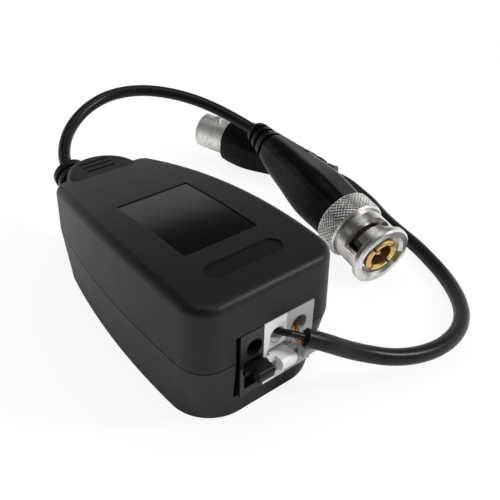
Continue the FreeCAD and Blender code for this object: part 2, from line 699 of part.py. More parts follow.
def winding(angle):
    """Return one winding: a row of wedge-shaped turns round the ring, joined by a thin layer."""
    low = core_bottom() - PART_GAP
    high = low + CORE_HEIGHT + 2 * PART_GAP
    t = WINDING_THICKNESS
    inner = CORE_INNER - PART_GAP
    outer = CORE_OUTER + PART_GAP

    def layer(thickness, spread):
        profile = ((inner - thickness, low - thickness), (outer + thickness, low - thickness),
                   (outer + thickness, high + thickness), (inner - thickness, high + thickness))
        hollow_profile = ((inner, low), (outer, low), (outer, high), (inner, high))
        ring = turned(profile).cut(turned(hollow_profile))
        return ring.common(sector(outer + 2 * t, low - 2 * t, high + 2 * t, 0, spread))

    pieces = [layer(t * 0.6, WINDING_SPREAD)]
    step = WINDING_SPREAD / WINDING_TURNS
    for turn in range(WINDING_TURNS):
        piece = layer(t, step * 0.6)
        piece.rotate(V(0, 0, 0), V(0, 0, 1), (turn + 0.5) * step - WINDING_SPREAD / 2)
        pieces.append(piece)
    coil = pieces[0].multiFuse(pieces[1:])
    coil.rotate(V(0, 0, 0), V(0, 0, 1), angle)
    coil.translate(V(0, TOROID_Y, 0))
    return coil


def surge_arrester():
    """Return the gas tube lying on the board, with its two end caps standing proud."""
    x, y = ARRESTER_PLACE
    cap = ARRESTER_LENGTH * 0.2
    waist = ARRESTER_RADIUS * 0.86
    half = ARRESTER_LENGTH / 2
    profile = ((0, -half), (ARRESTER_RADIUS, -half), (ARRESTER_RADIUS, -half + cap), (waist, -half + cap),
               (waist, half - cap), (ARRESTER_RADIUS, half - cap), (ARRESTER_RADIUS, half), (0, half))
    tube = turned(profile)
    tube.rotate(V(0, 0, 0), V(0, 1, 0), 90)
    tube.translate(V(x, y, BLOCK_BOTTOM + ARRESTER_RADIUS + PART_GAP))
    return tube


def filter_capacitor():
    """Return the film capacitor with rounded upper edges."""
    x, y = CAPACITOR_PLACE
    long, deep, high = CAPACITOR_SIZE
    body = box(x - long / 2, x + long / 2, y - deep / 2, y + deep / 2, BLOCK_BOTTOM, BLOCK_BOTTOM + high)
    return body.makeFillet(deep / 6, [e for e in body.Edges if e.BoundBox.ZMin > BLOCK_BOTTOM])


# Strain relief

def flange_back():
    """Return how far back the relief's inner flange reaches in the round inside of the nose."""
    inside = NOSE_HALF_WIDTH - WALL
    return NOSE_CENTRE_Y + math.sqrt(inside ** 2 - FLANGE_RADIUS ** 2) - 2 * RELIEF_GAP


def relief_turned(shape, share):
    """Return a shape made at the relief's root, carried along its bend."""
    moved = shape.copy()
    lean = math.radians(RELIEF_LEAN)
    up = V(math.sin(lean), 0, math.cos(lean))
    centre = V(0, NOSE_APEX, RELIEF_Z) + up * RELIEF_RADIUS
    moved.rotate(centre, V(0, 1, 0).cross(up), RELIEF_TURN * share)
    return moved


def relief_place(share):
    """Return the point and direction of the relief's axis at a share of its bend."""
    start = Part.makeLine(V(0, NOSE_APEX, RELIEF_Z), V(0, NOSE_APEX + 1, RELIEF_Z))
    moved = relief_turned(start, share)
    first = moved.Vertexes[0].Point
    way = moved.Vertexes[1].Point - first
    return first, way


def strain_relief():
    """Return the moulded relief: flange inside the nose, bent core, round discs, socket for the lead."""
    lean = math.radians(RELIEF_LEAN)
    up = V(math.sin(lean), 0, math.cos(lean))
    centre = V(0, NOSE_APEX, RELIEF_Z) + up * RELIEF_RADIUS
    circle = Part.makeCircle(RELIEF_CORE, V(0, NOSE_APEX, RELIEF_Z), V(0, 1, 0))
    core = Part.Face(Part.Wire([circle])).revolve(centre, V(0, 1, 0).cross(up), RELIEF_TURN)
    root_y = flange_back()
    root = rod((0, root_y - FLANGE_THICKNESS, RELIEF_Z), (0, NOSE_APEX, RELIEF_Z), RELIEF_CORE)
    flange = rod((0, root_y - FLANGE_THICKNESS, RELIEF_Z), (0, root_y, RELIEF_Z), FLANGE_RADIUS)
    arc_length = math.radians(RELIEF_TURN) * RELIEF_RADIUS
    discs = []
    for index in range(DISC_COUNT):
        disc = rod((0, NOSE_APEX - DISC_THICKNESS, RELIEF_Z), (0, NOSE_APEX, RELIEF_Z), RELIEF_DISC)
        disc = disc.makeFillet(DISC_THICKNESS * 0.2, disc.Edges[0:1] + disc.Edges[2:3])
        discs.append(relief_turned(disc, 1 - index * DISC_PITCH / arc_length))
    body = fuse_all([root, flange, core] + discs)
    end, way = relief_place(1)
    radius = PLUG_CORD_DIAMETER / 2 + CORD_SOCKET_GAP
    return body.cut(Part.makeCylinder(radius, 2 * RELIEF_SOCKET, end - way * RELIEF_SOCKET, way))


# Boots of the plug and the jack

def rounded_square(half, corner_share, station, roll):
    """Return a square outline with round corners about Z."""
    corner = half * corner_share
    flat = half - corner
    diagonal = flat + corner * math.sqrt(0.5)
    edges = []
    for quarter in range(4):
        turn = FreeCAD.Rotation(V(0, 0, 1), 90 * quarter + roll)

        def spot(x, y):
            return turn.multVec(V(x, y, station))

        edges.append(Part.makeLine(spot(half, -flat), spot(half, flat)))
        edges.append(Part.Arc(spot(half, flat), spot(diagonal, diagonal), spot(flat, half)).toShape())
    return Part.Wire(edges)


def boot(stations, half_widths, corners, grooves, roll):
    """Return a tapering boot about Z with ring grooves near its tail."""
    sections = [rounded_square(h, c, s, roll) for s, h, c in zip(stations, half_widths, corners)]
    body = Part.makeLoft(sections, True, False)
    for station in grooves:
        width = half_widths[0]
        for (s0, w0), (s1, w1) in zip(zip(stations, half_widths), zip(stations[1:], half_widths[1:])):
            if s0 <= station <= s1:
                width = w0 + (w1 - w0) * (station - s0) / (s1 - s0)
        low = station - GROOVE_WIDTH / 2
        high = low + GROOVE_WIDTH
        floor = width - GROOVE_DEPTH
        ring = turned(((floor, low), (width * 2, low), (width * 2, high), (floor, high)))
        body = body.cut(ring)
    return body


def plug_boot():
    """Return the plug's boot: squarish, with a pocket for the plug body and a small index slot."""
    body = boot(BOOT_STATIONS, BOOT_HALF_WIDTHS, BOOT_CORNERS, BOOT_GROOVES, BOOT_ROLL)
    body = body.cut(Part.makeCylinder(BODY_TUBE + FIT_GAP, BODY_END + FIT_GAP, V(0, 0, 0)))
    tail = BOOT_STATIONS[-1]
    socket = PLUG_CORD_DIAMETER / 2 + CORD_SOCKET_GAP
    body = body.cut(Part.makeCylinder(socket, PLUG_CORD_SOCKET + 1, V(0, 0, tail - PLUG_CORD_SOCKET)))
    mark = box(INDEX_OFFSET, INDEX_OFFSET + INDEX_WIDTH, -INDEX_HEIGHT - 2, -INDEX_HEIGHT + INDEX_DEPTH,
               INDEX_STATION - INDEX_LENGTH / 2, INDEX_STATION + INDEX_LENGTH / 2)
    mark.rotate(V(0, 0, 0), V(0, 0, 1), BOOT_ROLL)
    return body.cut(mark)


def coupling_nut():
    """Return the bayonet nut: rim, sleeve with two cam slots, knurled ring, chamber and rear lip."""
    c = NUT_CHAMFER
    lip = NUT_LENGTH - REAR_LIP
    groove = KNURL_START - NUT_GROOVE
    outer = ((NUT_MOUTH, 0), (NUT_RADIUS - c, 0), (NUT_RADIUS, c), (NUT_RADIUS, NUT_RIM - c / 2),
             (NUT_RADIUS - c / 2, NUT_RIM), (NUT_SLEEVE_RADIUS, NUT_RIM), (NUT_SLEEVE_RADIUS, groove),
             (NUT_GROOVE_RADIUS, groove), (NUT_GROOVE_RADIUS, KNURL_START), (KNURL_RADIUS - c, KNURL_START),
             (KNURL_RADIUS, KNURL_START + c), (KNURL_RADIUS, NUT_LENGTH - c),
             (KNURL_RADIUS - c, NUT_LENGTH))
    inner = ((BODY_TUBE + RUNNING_GAP, NUT_LENGTH), (BODY_TUBE + RUNNING_GAP, lip), (CHAMBER_RADIUS, lip),
             (CHAMBER_RADIUS, CHAMBER_START), (NUT_BORE, CHAMBER_START), (NUT_BORE, NUT_MOUTH - NUT_BORE))
    nut = turned(outer + inner)
    for copy in range(BAYONET_COUNT):
        turn = copy * 360 / BAYONET_COUNT
        entry = -SLOT_ENTRY_ANGLE + turn
        lock = -LOCK_ANGLE + turn
        far = entry + SLOT_ENTRY_SPREAD / 2
        keyway = sector(SLOT_RADIUS, -1, NUT_RIM + 0.1, entry, SLOT_ENTRY_SPREAD)
        way_in = sector(NUT_RADIUS, NUT_RIM, SLOT_BACK, entry, SLOT_ENTRY_SPREAD)
        track = sector(NUT_RADIUS, TRACK_FRONT, SLOT_BACK, (far + lock) / 2, lock - far + 2)
        angle = math.radians(lock)
        end = V(math.cos(angle), math.sin(angle), 0) * NUT_RADIUS
        hole = Part.makeCylinder(LOCK_RADIUS, NUT_RADIUS, V(0, 0, LOCK_STATION), end)
        relief = (SLOT_BACK - TRACK_FRONT) / 2
        round_end = Part.makeCylinder(relief, NUT_RADIUS, V(0, 0, SLOT_BACK - relief), end)
        nut = nut.cut(keyway).cut(way_in).cut(track).cut(hole).cut(round_end)
    return nut


def plug_body():
    """Return the plug's metal body: flange inside the nut and tube into the boot."""
    front = CHAMBER_START + SEAT_GAP
    back = front + FLANGE_LENGTH
    flange = CHAMBER_RADIUS - RUNNING_GAP
    return turned(((BODY_BORE, front), (flange, front), (flange, back), (BODY_TUBE, back),
                   (BODY_TUBE, BODY_END), (BODY_BORE, BODY_END)))


def contact_sleeve():
    """Return the slotted outer contact."""
    back = CHAMBER_START + SEAT_GAP
    edge = (SLEEVE_RADIUS - SLEEVE_BORE) / 4
    sleeve = turned(((SLEEVE_BORE + edge, SLEEVE_FRONT), (SLEEVE_RADIUS - edge, SLEEVE_FRONT),
                     (SLEEVE_RADIUS, SLEEVE_FRONT + edge), (SLEEVE_RADIUS, back), (SLEEVE_BORE, back),
                     (SLEEVE_BORE, SLEEVE_FRONT + edge)))
    for slot in range(SLEEVE_SLOTS // 2):
        half = SLEEVE_SLOT_WIDTH / 2
        reach = 2 * SLEEVE_RADIUS
        cutter = box(-reach, reach, -half, half, SLEEVE_FRONT - 1, SLEEVE_FRONT + SLEEVE_SLOT_DEPTH)
        cutter.rotate(V(0, 0, 0), V(0, 0, 1), 45 + slot * 360 / SLEEVE_SLOTS)
        sleeve = sleeve.cut(cutter)
    return sleeve


def plug_gasket():
    """Return the rubber ring that the jack's mouth presses on."""
    back = CHAMBER_START + SEAT_GAP
    front = back - GASKET_THICKNESS
    inner = SLEEVE_RADIUS + FIT_GAP
    return turned(((inner, front), (GASKET_RADIUS, front), (GASKET_RADIUS, back), (inner, back)))


def plug_insulator():
    """Return the insulator round the plug's pin, stepped into the body."""
    step = CHAMBER_START + SEAT_GAP
    hole = PIN_RADIUS + FIT_GAP
    wide = SLEEVE_BORE - FIT_GAP
    narrow = BODY_BORE - FIT_GAP
    return turned(((hole, INSULATOR_FRONT), (wide, INSULATOR_FRONT), (wide, step), (narrow, step),
                   (narrow, INSULATOR_TAIL), (hole, INSULATOR_TAIL)))


def plug_pin():
    """Return the centre pin with its rounded point."""
    pin = Part.makeCylinder(PIN_RADIUS, INSULATOR_TAIL + 1 - PIN_FRONT, V(0, 0, PIN_FRONT))
    point = [e for e in pin.Edges if e.BoundBox.ZMax < PIN_FRONT + 0.01]
    return pin.makeFillet(PIN_RADIUS * 0.8, point)


def spring_washer():
    """Return the ring that stands for the wave washer behind the body's flange."""
    front = CHAMBER_START + SEAT_GAP + FLANGE_LENGTH + WASHER_TRAVEL + WASHER_GAP
    inner = BODY_TUBE + RUNNING_GAP
    outer = CHAMBER_RADIUS - RUNNING_GAP
    back = front + WASHER_THICKNESS
    return turned(((inner, front), (outer, front), (outer, back), (inner, back)))


def jack_barrel():
    """Return the jack's barrel with its two bayonet lugs and the stem inside the boot."""
    e = BARREL_EDGE / 2
    stem = BARREL_LENGTH + BARREL_STEM_LENGTH
    bore = JACK_INSULATOR_RADIUS
    barrel = turned(((BARREL_BORE, e), (BARREL_BORE + e, 0), (BARREL_RADIUS - e, 0), (BARREL_RADIUS, e),
                     (BARREL_RADIUS, BARREL_LENGTH), (BARREL_STEM, BARREL_LENGTH), (BARREL_STEM, stem),
                     (bore, stem), (bore, BARREL_BORE_DEPTH), (BARREL_BORE, BARREL_BORE_DEPTH)))
    for side in range(BAYONET_COUNT):
        angle = math.radians(-LUG_ANGLE + side * 360 / BAYONET_COUNT)
        way = V(math.cos(angle), math.sin(angle), 0)
        start = way * ((BARREL_BORE + BARREL_RADIUS) / 2) + V(0, 0, LUG_STATION)
        lug = Part.makeCylinder(LUG_RADIUS, LUG_REACH - (BARREL_BORE + BARREL_RADIUS) / 2, start, way)
        barrel = barrel.fuse(lug)
    return barrel.removeSplitter()


def jack_boot():
    """Return the jack's boot with its pocket for the barrel's stem."""
    body = boot(JACK_STATIONS, JACK_HALF_WIDTHS, JACK_CORNERS, JACK_GROOVES, JACK_ROLL)
    stem = BARREL_LENGTH + BARREL_STEM_LENGTH
    body = body.cut(Part.makeCylinder(BARREL_STEM + FIT_GAP, stem + FIT_GAP, V(0, 0, 0)))
    length = jack_length()
    socket = JACK_CORD_DIAMETER / 2 + CORD_SOCKET_GAP
    return body.cut(Part.makeCylinder(socket, JACK_CORD_SOCKET + 1, V(0, 0, length - JACK_CORD_SOCKET)))


def jack_insulator():
    """Return the insulator that stands in the jack's bore."""
    back = BARREL_LENGTH + BARREL_STEM_LENGTH - 1
    hole = JACK_CONTACT_RADIUS + FIT_GAP
    outer = JACK_INSULATOR_RADIUS - FIT_GAP
    front = JACK_INSULATOR_FRONT
    return turned(((hole, front), (outer, front), (outer, back), (hole, back)))


def jack_contact():
    """Return the split socket that takes the plug's pin."""
    back = BARREL_LENGTH + BARREL_STEM_LENGTH
    depth = JACK_CONTACT_FRONT + JACK_CONTACT_DEPTH
    socket = turned(((JACK_CONTACT_BORE, JACK_CONTACT_FRONT), (JACK_CONTACT_RADIUS, JACK_CONTACT_FRONT),
                     (JACK_CONTACT_RADIUS, back), (0, back), (0, depth), (JACK_CONTACT_BORE, depth)))
    slit = box(-2, 2, -JACK_CONTACT_BORE / 4, JACK_CONTACT_BORE / 4, 0, depth - 1)
    return socket.cut(slit)


def jack_length():
    """Return the length of the jack from mouth to tail."""
    return (V(*JACK_TAIL) - V(*JACK_MOUTH)).Length


def jack_axis():
    """Return the direction from the jack's mouth to its tail."""
    return V(*JACK_TAIL) - V(*JACK_MOUTH)


# Leads

def cord(name, points, radius):
    """Return a tube of straight runs joined by tangent arcs, and print its radii and length."""
    spots = [V(*p) for p in points]
    runs = [(b - a).Length for a, b in zip(spots, spots[1:])]
    edges = []
    last = spots[0]
    radii = []
    for index in range(1, len(spots) - 1):
        here = spots[index]
        before = (here - spots[index - 1]).normalize()
        after = (spots[index + 1] - here).normalize()
        reach = ARC_SHARE * min(runs[index - 1], runs[index])
        half = before.getAngle(after) / 2
        bend = reach / math.tan(half)
        radii.append(bend)
        start = here - before * reach
        end = here + after * reach
        inward = (after - before).normalize()
        middle = here + inward * (bend / math.cos(half) - bend)
        edges.append(Part.LineSegment(last, start).toShape())
        edges.append(Part.Arc(start, middle, end).toShape())
        last = end
    edges.append(Part.LineSegment(last, spots[-1]).toShape())
    path = Part.Wire(edges)
    profile = Part.Wire([Part.makeCircle(radius, spots[0], spots[1] - spots[0])])
    tube = path.makePipeShell([profile], True, False, 2)
    expected = math.pi * radius ** 2 * path.Length
    print(name, "length", round(path.Length, 1), "radii", [round(r, 1) for r in radii],
          "volume share", round(tube.Volume / expected, 4))
    return tube


def plug_route():
    """Return the points of the lead from the strain relief to the plug's boot."""
    start, way = relief_place(1)
    tail = BOOT_STATIONS[-1]
    return [start - way * RELIEF_SOCKET, start + way * EXIT_RUN, (2.15, 79.3, 17.0), (5.3, 83.8, 18.9),
            (9.9, 87.5, 20.9), (15.9, 89.9, 22.8), (22.5, 90.5, 24.0), (29.4, 88.6, 24.2),
            (35.3, 85.0, 23.4), (40.3, 80.4, 22.0), (44.2, 74.8, 20.2), (47.3, 69.2, 18.0),
            along(PLUG_MOUTH, PLUG_AXIS, tail + EXIT_RUN),
            along(PLUG_MOUTH, PLUG_AXIS, tail - PLUG_CORD_SOCKET)]


def jack_route():
    """Return the points of the lead from the jack's boot round to the front of the terminals."""
    length = jack_length()
    return [along(JACK_MOUTH, jack_axis(), length - JACK_CORD_SOCKET),
            along(JACK_MOUTH, jack_axis(), length + EXIT_RUN),
            (65.1, 43.2, 3.7), (65.8, 39.4, 2.2), (65.3, 35.2, 1.7), (63.6, 31.2, 1.7),
            (61.7, 26.2, 1.72), (60.3, 20.6, 1.7), (58.9, 14.6, 1.72), (57.0, 9.2, 1.7),
            (55.0, 4.2, 1.72), (52.4, -0.3, 2.0), (48.8, -5.0, 2.6), (44.2, -9.2, 3.2),
            (38.6, -12.0, 3.8), (32.2, -13.1, 4.5), (26.2, -12.5, 5.3), (20.6, -10.6, 6.4),
            (15.8, -8.0, 8.2), (11.7, -6.3, 10.5), (7.7, -5.1, 13.4), (4.5, -3.3, 15.1)]


def core_route():
    """Return the points of the insulated core from the cut jacket into the white terminal."""
    end = V(*jack_route()[-1])
    way = (end - V(*jack_route()[-2])).normalize()
    x = entry_x(1)
    return [end, end + way * CORE_START, (x + 0.5, -1.6, ENTRY_Z + 1.3), (x, 0.6, ENTRY_Z + 0.5),
            (x, WIRE_REACH, ENTRY_Z)]


def braid_route():
    """Return the points of the twisted braid from the cut jacket into the grey terminal."""
    end = V(*jack_route()[-1])
    way = (end - V(*jack_route()[-2])).normalize()
    low = end + V(*BRAID_LEAVES)
    x = entry_x(2)
    return [low, low + way * BRAID_START, (x - 1.7, -1.4, ENTRY_Z - 0.3), (x - 0.9, 1.2, ENTRY_Z),
            (x - 0.2, WIRE_REACH, ENTRY_Z)]


def inner_leads():
    """Return the two wires from the strain relief, past the rear screw boss, down to the board."""
    wires = []
    start_y = flange_back() - FLANGE_THICKNESS
    boss_y = SCREW_PLACES[-1][1]
    beside = SCREW_HEAD_RADIUS + BOSS_WALL + INNER_LEAD_GAP + INNER_LEAD_RADIUS
    end_y = BOARD_FRONT + BOARD_LENGTH - INNER_LEAD_LANDING
    high = BLOCK_BOTTOM + PART_GAP + INNER_LEAD_DROP
    for side in (-1, 1):
        x = side * INNER_LEAD_SPREAD
        points = [(x, start_y, RELIEF_Z), (x, start_y - INNER_LEAD_START, RELIEF_Z),
                  (side * beside, boss_y + INNER_LEAD_GAP, RELIEF_Z - INNER_LEAD_START),
                  (side * beside, end_y + INNER_LEAD_DROP, high + INNER_LEAD_START),
                  (side * beside, end_y, high), (side * beside, end_y, BLOCK_BOTTOM + PART_GAP)]
        wires.append(cord("inner lead", points, INNER_LEAD_RADIUS))
    return Part.makeCompound(wires)


def build():
    """Return every piece by its node name, in the layout frame."""
    upper_block, lower_block = case_block()
    pieces = {
        "upper_case": upper_case(upper_block),
        "lower_case": lower_case(lower_block),
        "case_screws": case_screws(),
        "strain_relief": strain_relief(),
        "circuit_board": circuit_board(),
        "transformer_base": transformer_base(),
        "transformer_core": transformer_core(),
        "winding_primary": winding(0),
        "winding_secondary": winding(180),
        "surge_arrester": surge_arrester(),
        "filter_capacitor": filter_capacitor(),
        "inner_leads": inner_leads(),
        "plug_cord": cord("plug cord", plug_route(), PLUG_CORD_DIAMETER / 2),
        "jack_cord": cord("jack cord", jack_route(), JACK_CORD_DIAMETER / 2),
        "core_wire": cord("core wire", core_route(), CORE_WIRE_RADIUS),
        "braid_tail": cord("braid tail", braid_route(), BRAID_RADIUS),
    }
    for index, colour in enumerate(TERMINAL_COLOURS):
        pieces["terminal_" + colour] = terminal(index)
        pieces["lever_" + colour] = lever(index)
        pieces["clamp_spring_" + colour] = clamp_spring(index)
        pieces["contact_strip_" + colour] = contact_strip(index)

    plug = axis_frame(PLUG_MOUTH, PLUG_AXIS)
    jack = axis_frame(JACK_MOUTH, tuple(jack_axis()))
    lathe_work = {
        "plug_boot": (plug_boot, plug),
        "plug_body": (plug_body, plug),
        "plug_contact_sleeve": (contact_sleeve, plug),
        "plug_insulator": (plug_insulator, plug),
        "plug_pin": (plug_pin, plug),
        "plug_gasket": (plug_gasket, plug),
        "spring_washer": (spring_washer, plug),
        "coupling_nut": (coupling_nut, plug),
        "jack_boot": (jack_boot, jack),
        "jack_barrel": (jack_barrel, jack),
        "jack_insulator": (jack_insulator, jack),
        "jack_contact": (jack_contact, jack),
    }
    for name, (make, frame) in lathe_work.items():
        shape = make()
        shape.Placement = frame.multiply(shape.Placement)
        pieces[name] = shape
    return pieces


def main():
    """Build every piece, move it to the part's frame and write one STEP file each."""
    os.makedirs("parts", exist_ok=True)
    for name, shape in build().items():
        shape = shape.copy()
        shape.translate(V(0, -ORIGIN_Y, 0))
        if not shape.isValid():
            print("not valid:", name)
        shape.exportStep("parts/" + name + ".step")
        print(name, "solids", len(shape.Solids), "volume", round(shape.Volume, 1))


main()
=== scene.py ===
"""Looks of a video ground loop isolator: its leads, knurl, strands and finishes, and the studio.

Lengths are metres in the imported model's frame: the origin is the bottom centre of the case with its
levers, +Y points to the case's nose and +Z is up.
"""
from __future__ import annotations

import logging
import math
from collections.abc import Mapping, Sequence
from dataclasses import dataclass
from enum import Enum

import bpy
from mathutils import Matrix, Quaternion, Vector


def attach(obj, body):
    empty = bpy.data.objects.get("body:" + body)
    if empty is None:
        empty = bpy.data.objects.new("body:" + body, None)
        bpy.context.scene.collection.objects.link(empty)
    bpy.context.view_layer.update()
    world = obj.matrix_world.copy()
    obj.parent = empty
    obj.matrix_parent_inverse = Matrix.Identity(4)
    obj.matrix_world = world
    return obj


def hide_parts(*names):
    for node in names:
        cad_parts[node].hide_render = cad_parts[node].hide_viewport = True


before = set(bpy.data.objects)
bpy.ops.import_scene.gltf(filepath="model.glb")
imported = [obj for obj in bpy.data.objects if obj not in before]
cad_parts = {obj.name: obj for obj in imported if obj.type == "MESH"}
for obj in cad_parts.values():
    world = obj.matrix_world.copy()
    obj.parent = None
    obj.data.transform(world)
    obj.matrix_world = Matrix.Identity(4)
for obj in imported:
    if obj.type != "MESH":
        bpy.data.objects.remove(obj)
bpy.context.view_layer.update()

logging.basicConfig(level=logging.INFO, format="%(message)s")
LOG = logging.getLogger("looks")

RGB = tuple[float, float, float]
Point = tuple[float, float, float]
MM = 0.001
TURN = 2.0 * math.pi
BLACK: RGB = (0.0, 0.0, 0.0)
WHITE: RGB = (1.0, 1.0, 1.0)
# The ends of a band that is open on one side: past every value that a band is asked about.
BELOW, ABOVE = -2.0, 2.0
# How a route is drawn: the steps and the order of its curve, and how round its tube is.
ROUTE_STEPS = 12
ROUTE_ORDER = 3
TUBE_ROUNDNESS = 7


class Body(Enum):
    """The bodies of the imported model."""

    ISOLATOR = "isolator"
    NUT = "coupling_nut"


class Signal:
    """One output socket that takes part in Python sums."""

    def __init__(self, graph: Graph, socket: bpy.types.NodeSocket | None) -> None:
        """Hold a socket and the graph that it belongs to."""
        self.graph = graph
        self.socket = socket

    def beside(self, output: int | str) -> Signal:
        """Return another output of the same node."""
        return Signal(self.graph, self.socket.node.outputs[output])

    def maths(self, operation: str, first: Signal | float, second: Signal | float = 0.0) -> Signal:
        """Add one Math node and return its output."""
        return self.graph.node("ShaderNodeMath", {"operation": operation}, {0: first, 1: second})

    def __add__(self, other: Signal | float) -> Signal:
        """Add two values."""
        return self.maths("ADD", self, other)

    __radd__ = __add__

    def __sub__(self, other: Signal | float) -> Signal:
        """Take another value from this one."""
        return self.maths("SUBTRACT", self, other)

    def __rsub__(self, other: Signal | float) -> Signal:
        """Take this value from another one."""
        return self.maths("SUBTRACT", other, self)

    def __mul__(self, other: Signal | float) -> Signal:
        """Multiply two values."""
        return self.maths("MULTIPLY", self, other)

    __rmul__ = __mul__

    def __truediv__(self, other: Signal | float) -> Signal:
        """Divide this value by another one."""
        return self.maths("DIVIDE", self, other)


class Graph:
    """A node tree of a material, the world or a repeat, with one way to add a node."""

    def __init__(self, tree: bpy.types.NodeTree) -> None:
        """Start on an empty tree."""
        self.tree = tree
        tree.nodes.clear()

    def node(self, kind: str, settings: Mapping[str, object] | None = None,
             inputs: Mapping[int | str, object] | None = None, output: int | str = 0) -> Signal:
        """Add a node of any kind.

        Args:
            kind: The node's type.
            settings: Its properties, set first.
            inputs: Values, links or lists of links of its sockets, by name or number.
            output: Which output is returned.

        Returns:
            The output as a signal.
        """
        made = self.tree.nodes.new(kind)
        for name, value in (settings or {}).items():
            setattr(made, name, value)
        for key, value in (inputs or {}).items():
            socket = made.inputs[key]
            if isinstance(value, Signal):
                self.tree.links.new(value.socket, socket)
            elif isinstance(value, list):
                for each in value:
                    self.tree.links.new(each.socket, socket)
            else:
                socket.default_value = value
        return Signal(self, made.outputs[output] if len(made.outputs) else None)

    def place(self) -> Signal:
        """Return the Object coordinates, in metres."""
        return self.node("ShaderNodeTexCoord", output="Object")

    def noise(self, where: Signal, size: float, detail: float = 2.0) -> Signal:
        """Return a noise of 0 to 1 whose blotches are about size metres across."""
        return self.node("ShaderNodeTexNoise",
                         inputs={"Vector": where, "Scale": 1.0 / size, "Detail": detail})

    def blend(self, factor: Signal | float, low: RGB | Signal, high: RGB | Signal) -> Signal:
        """Mix two colours.

        Args:
            factor: 0 for the low colour and 1 for the high one.
            low: The first colour.
            high: The second colour.

        Returns:
            The mixed colour.
        """
        ends = {6: low if isinstance(low, Signal) else (*low, 1.0),
                7: high if isinstance(high, Signal) else (*high, 1.0)}
        return self.node("ShaderNodeMix", {"data_type": "RGBA"}, {0: factor, **ends}, output=2)

    def band(self, value: Signal, low: float, high: float, edge: float) -> Signal:
        """Tell where a value lies between two ends.

        Args:
            value: The value that is asked about.
            low: The lower end.
            high: The upper end.
            edge: Half the width of each soft end.

        Returns:
            1 between the ends and 0 outside.
        """
        rise = self.node("ShaderNodeMapRange", {"interpolation_type": "SMOOTHSTEP"},
                         {"Value": value, "From Min": low - edge, "From Max": low + edge})
        fall = self.node("ShaderNodeMapRange", {"interpolation_type": "SMOOTHSTEP"},
                         {"Value": value, "From Min": high - edge, "From Max": high + edge})
        return rise * (1.0 - fall)

    def bump(self, height: Signal, depth: float) -> Signal:
        """Return the normal of a relief that is depth metres high."""
        return self.node("ShaderNodeBump",
                         inputs={"Height": height, "Distance": depth, "Strength": 1.0}, output="Normal")


@dataclass(frozen=True)
class Axis:
    """The line of a connector, from its mouth backwards."""

    mouth: Point
    way: Point

    def matrix(self) -> Matrix:
        """Set a frame at the mouth.

        Returns:
            The frame: X level to the right, Y down, Z backwards.
        """
        back = Vector(self.way).normalized()
        side = back.cross(Vector((0.0, 0.0, 1.0))).normalized()
        turned = Matrix((side, back.cross(side), back)).transposed().to_4x4()
        return Matrix.Translation(self.mouth) @ turned


PLUG_AXIS = Axis(mouth=(0.0423, -0.01823, 0.0074), way=(0.1292, 0.9771, 0.1671))
JACK_AXIS = Axis(mouth=(0.0504, 0.0580, 0.0074), way=(0.3064, -0.9499, -0.0613))


@dataclass(frozen=True)
class Patch:
    """A smooth place in a grained surface, level and seen from above."""

    half_width: float
    front: float
    back: float
    floor: float
    roughness: float
    corner: float = 0.1 * MM
    edge: float = 0.04 * MM

    def mask(self, graph: Graph, where: Signal) -> Signal:
        """Mask the patch.

        Args:
            graph: The material's graph.
            where: The place on the surface.

        Returns:
            1 on the patch and 0 elsewhere.
        """
        parts = graph.node("ShaderNodeSeparateXYZ", inputs={0: where})
        across, along, height = (parts.beside(i) for i in range(3))
        from_middle = along - (self.front + self.back) / 2
        outside = []
        for value, half in ((across, self.half_width), (from_middle, (self.back - self.front) / 2)):
            away = value.maths("ABSOLUTE", value) - (half - self.corner)
            outside.append(away.maths("MAXIMUM", away, 0.0))
        away = outside[0] * outside[0] + outside[1] * outside[1]
        inside = graph.band(away.maths("SQRT", away), BELOW, self.corner, self.edge)
        return inside * graph.band(height, self.floor, ABOVE, self.edge)


@dataclass(frozen=True)
class Finish:
    """What every finish has: a name, the record's slot, a colour, a roughness and a shine."""

    name: str
    slot: str
    colour: RGB
    roughness: float
    shine: float = 0.5

    def surface(self, graph: Graph) -> dict[str, object]:
        """Return the values and links of the main shader's sockets."""
        raise NotImplementedError

    def material(self) -> bpy.types.Material:
        """Make this finish's material, or find it where it is made already.

        Returns:
            The material.
        """
        found = bpy.data.materials.get(self.name)
        if found:
            return found
        made = bpy.data.materials.new(self.name)
        made.use_nodes = True
        graph = Graph(made.node_tree)
        shader = graph.node("ShaderNodeBsdfPrincipled",
                            inputs={"Specular IOR Level": self.shine, **self.surface(graph)})
        graph.node("ShaderNodeOutputMaterial", inputs={"Surface": shader})
        return made


@dataclass(frozen=True)
class Moulded(Finish):
    """A moulded plastic: fine grain, faint mottling and, where it has them, smooth patches."""

    grain: float = 0.3 * MM
    grain_depth: float = 0.018 * MM
    mottle: float = 5.0 * MM
    mottle_share: float = 0.18
    gloss_spread: float = 0.08
    patches: tuple[Patch, ...] = ()

    def surface(self, graph: Graph) -> dict[str, object]:
        """Make the plastic.

        Args:
            graph: The material's graph.

        Returns:
            The values and links of the shader's sockets.
        """
        where = graph.place()
        mottling = graph.noise(where, self.mottle, detail=4.0)
        dark = tuple(c * (1.0 - self.mottle_share) for c in self.colour)
        light = tuple(c * (1.0 + self.mottle_share) for c in self.colour)
        rough = self.roughness - self.gloss_spread / 2 + mottling * self.gloss_spread
        height = graph.noise(where, self.grain, detail=3.0)
        for patch in self.patches:
            mask = patch.mask(graph, where)
            rough = rough * (1.0 - mask) + mask * patch.roughness
            height = height * (1.0 - mask)
        return {"Base Color": graph.blend(mottling, dark, light), "Roughness": rough,
                "Normal": graph.bump(height, self.grain_depth)}


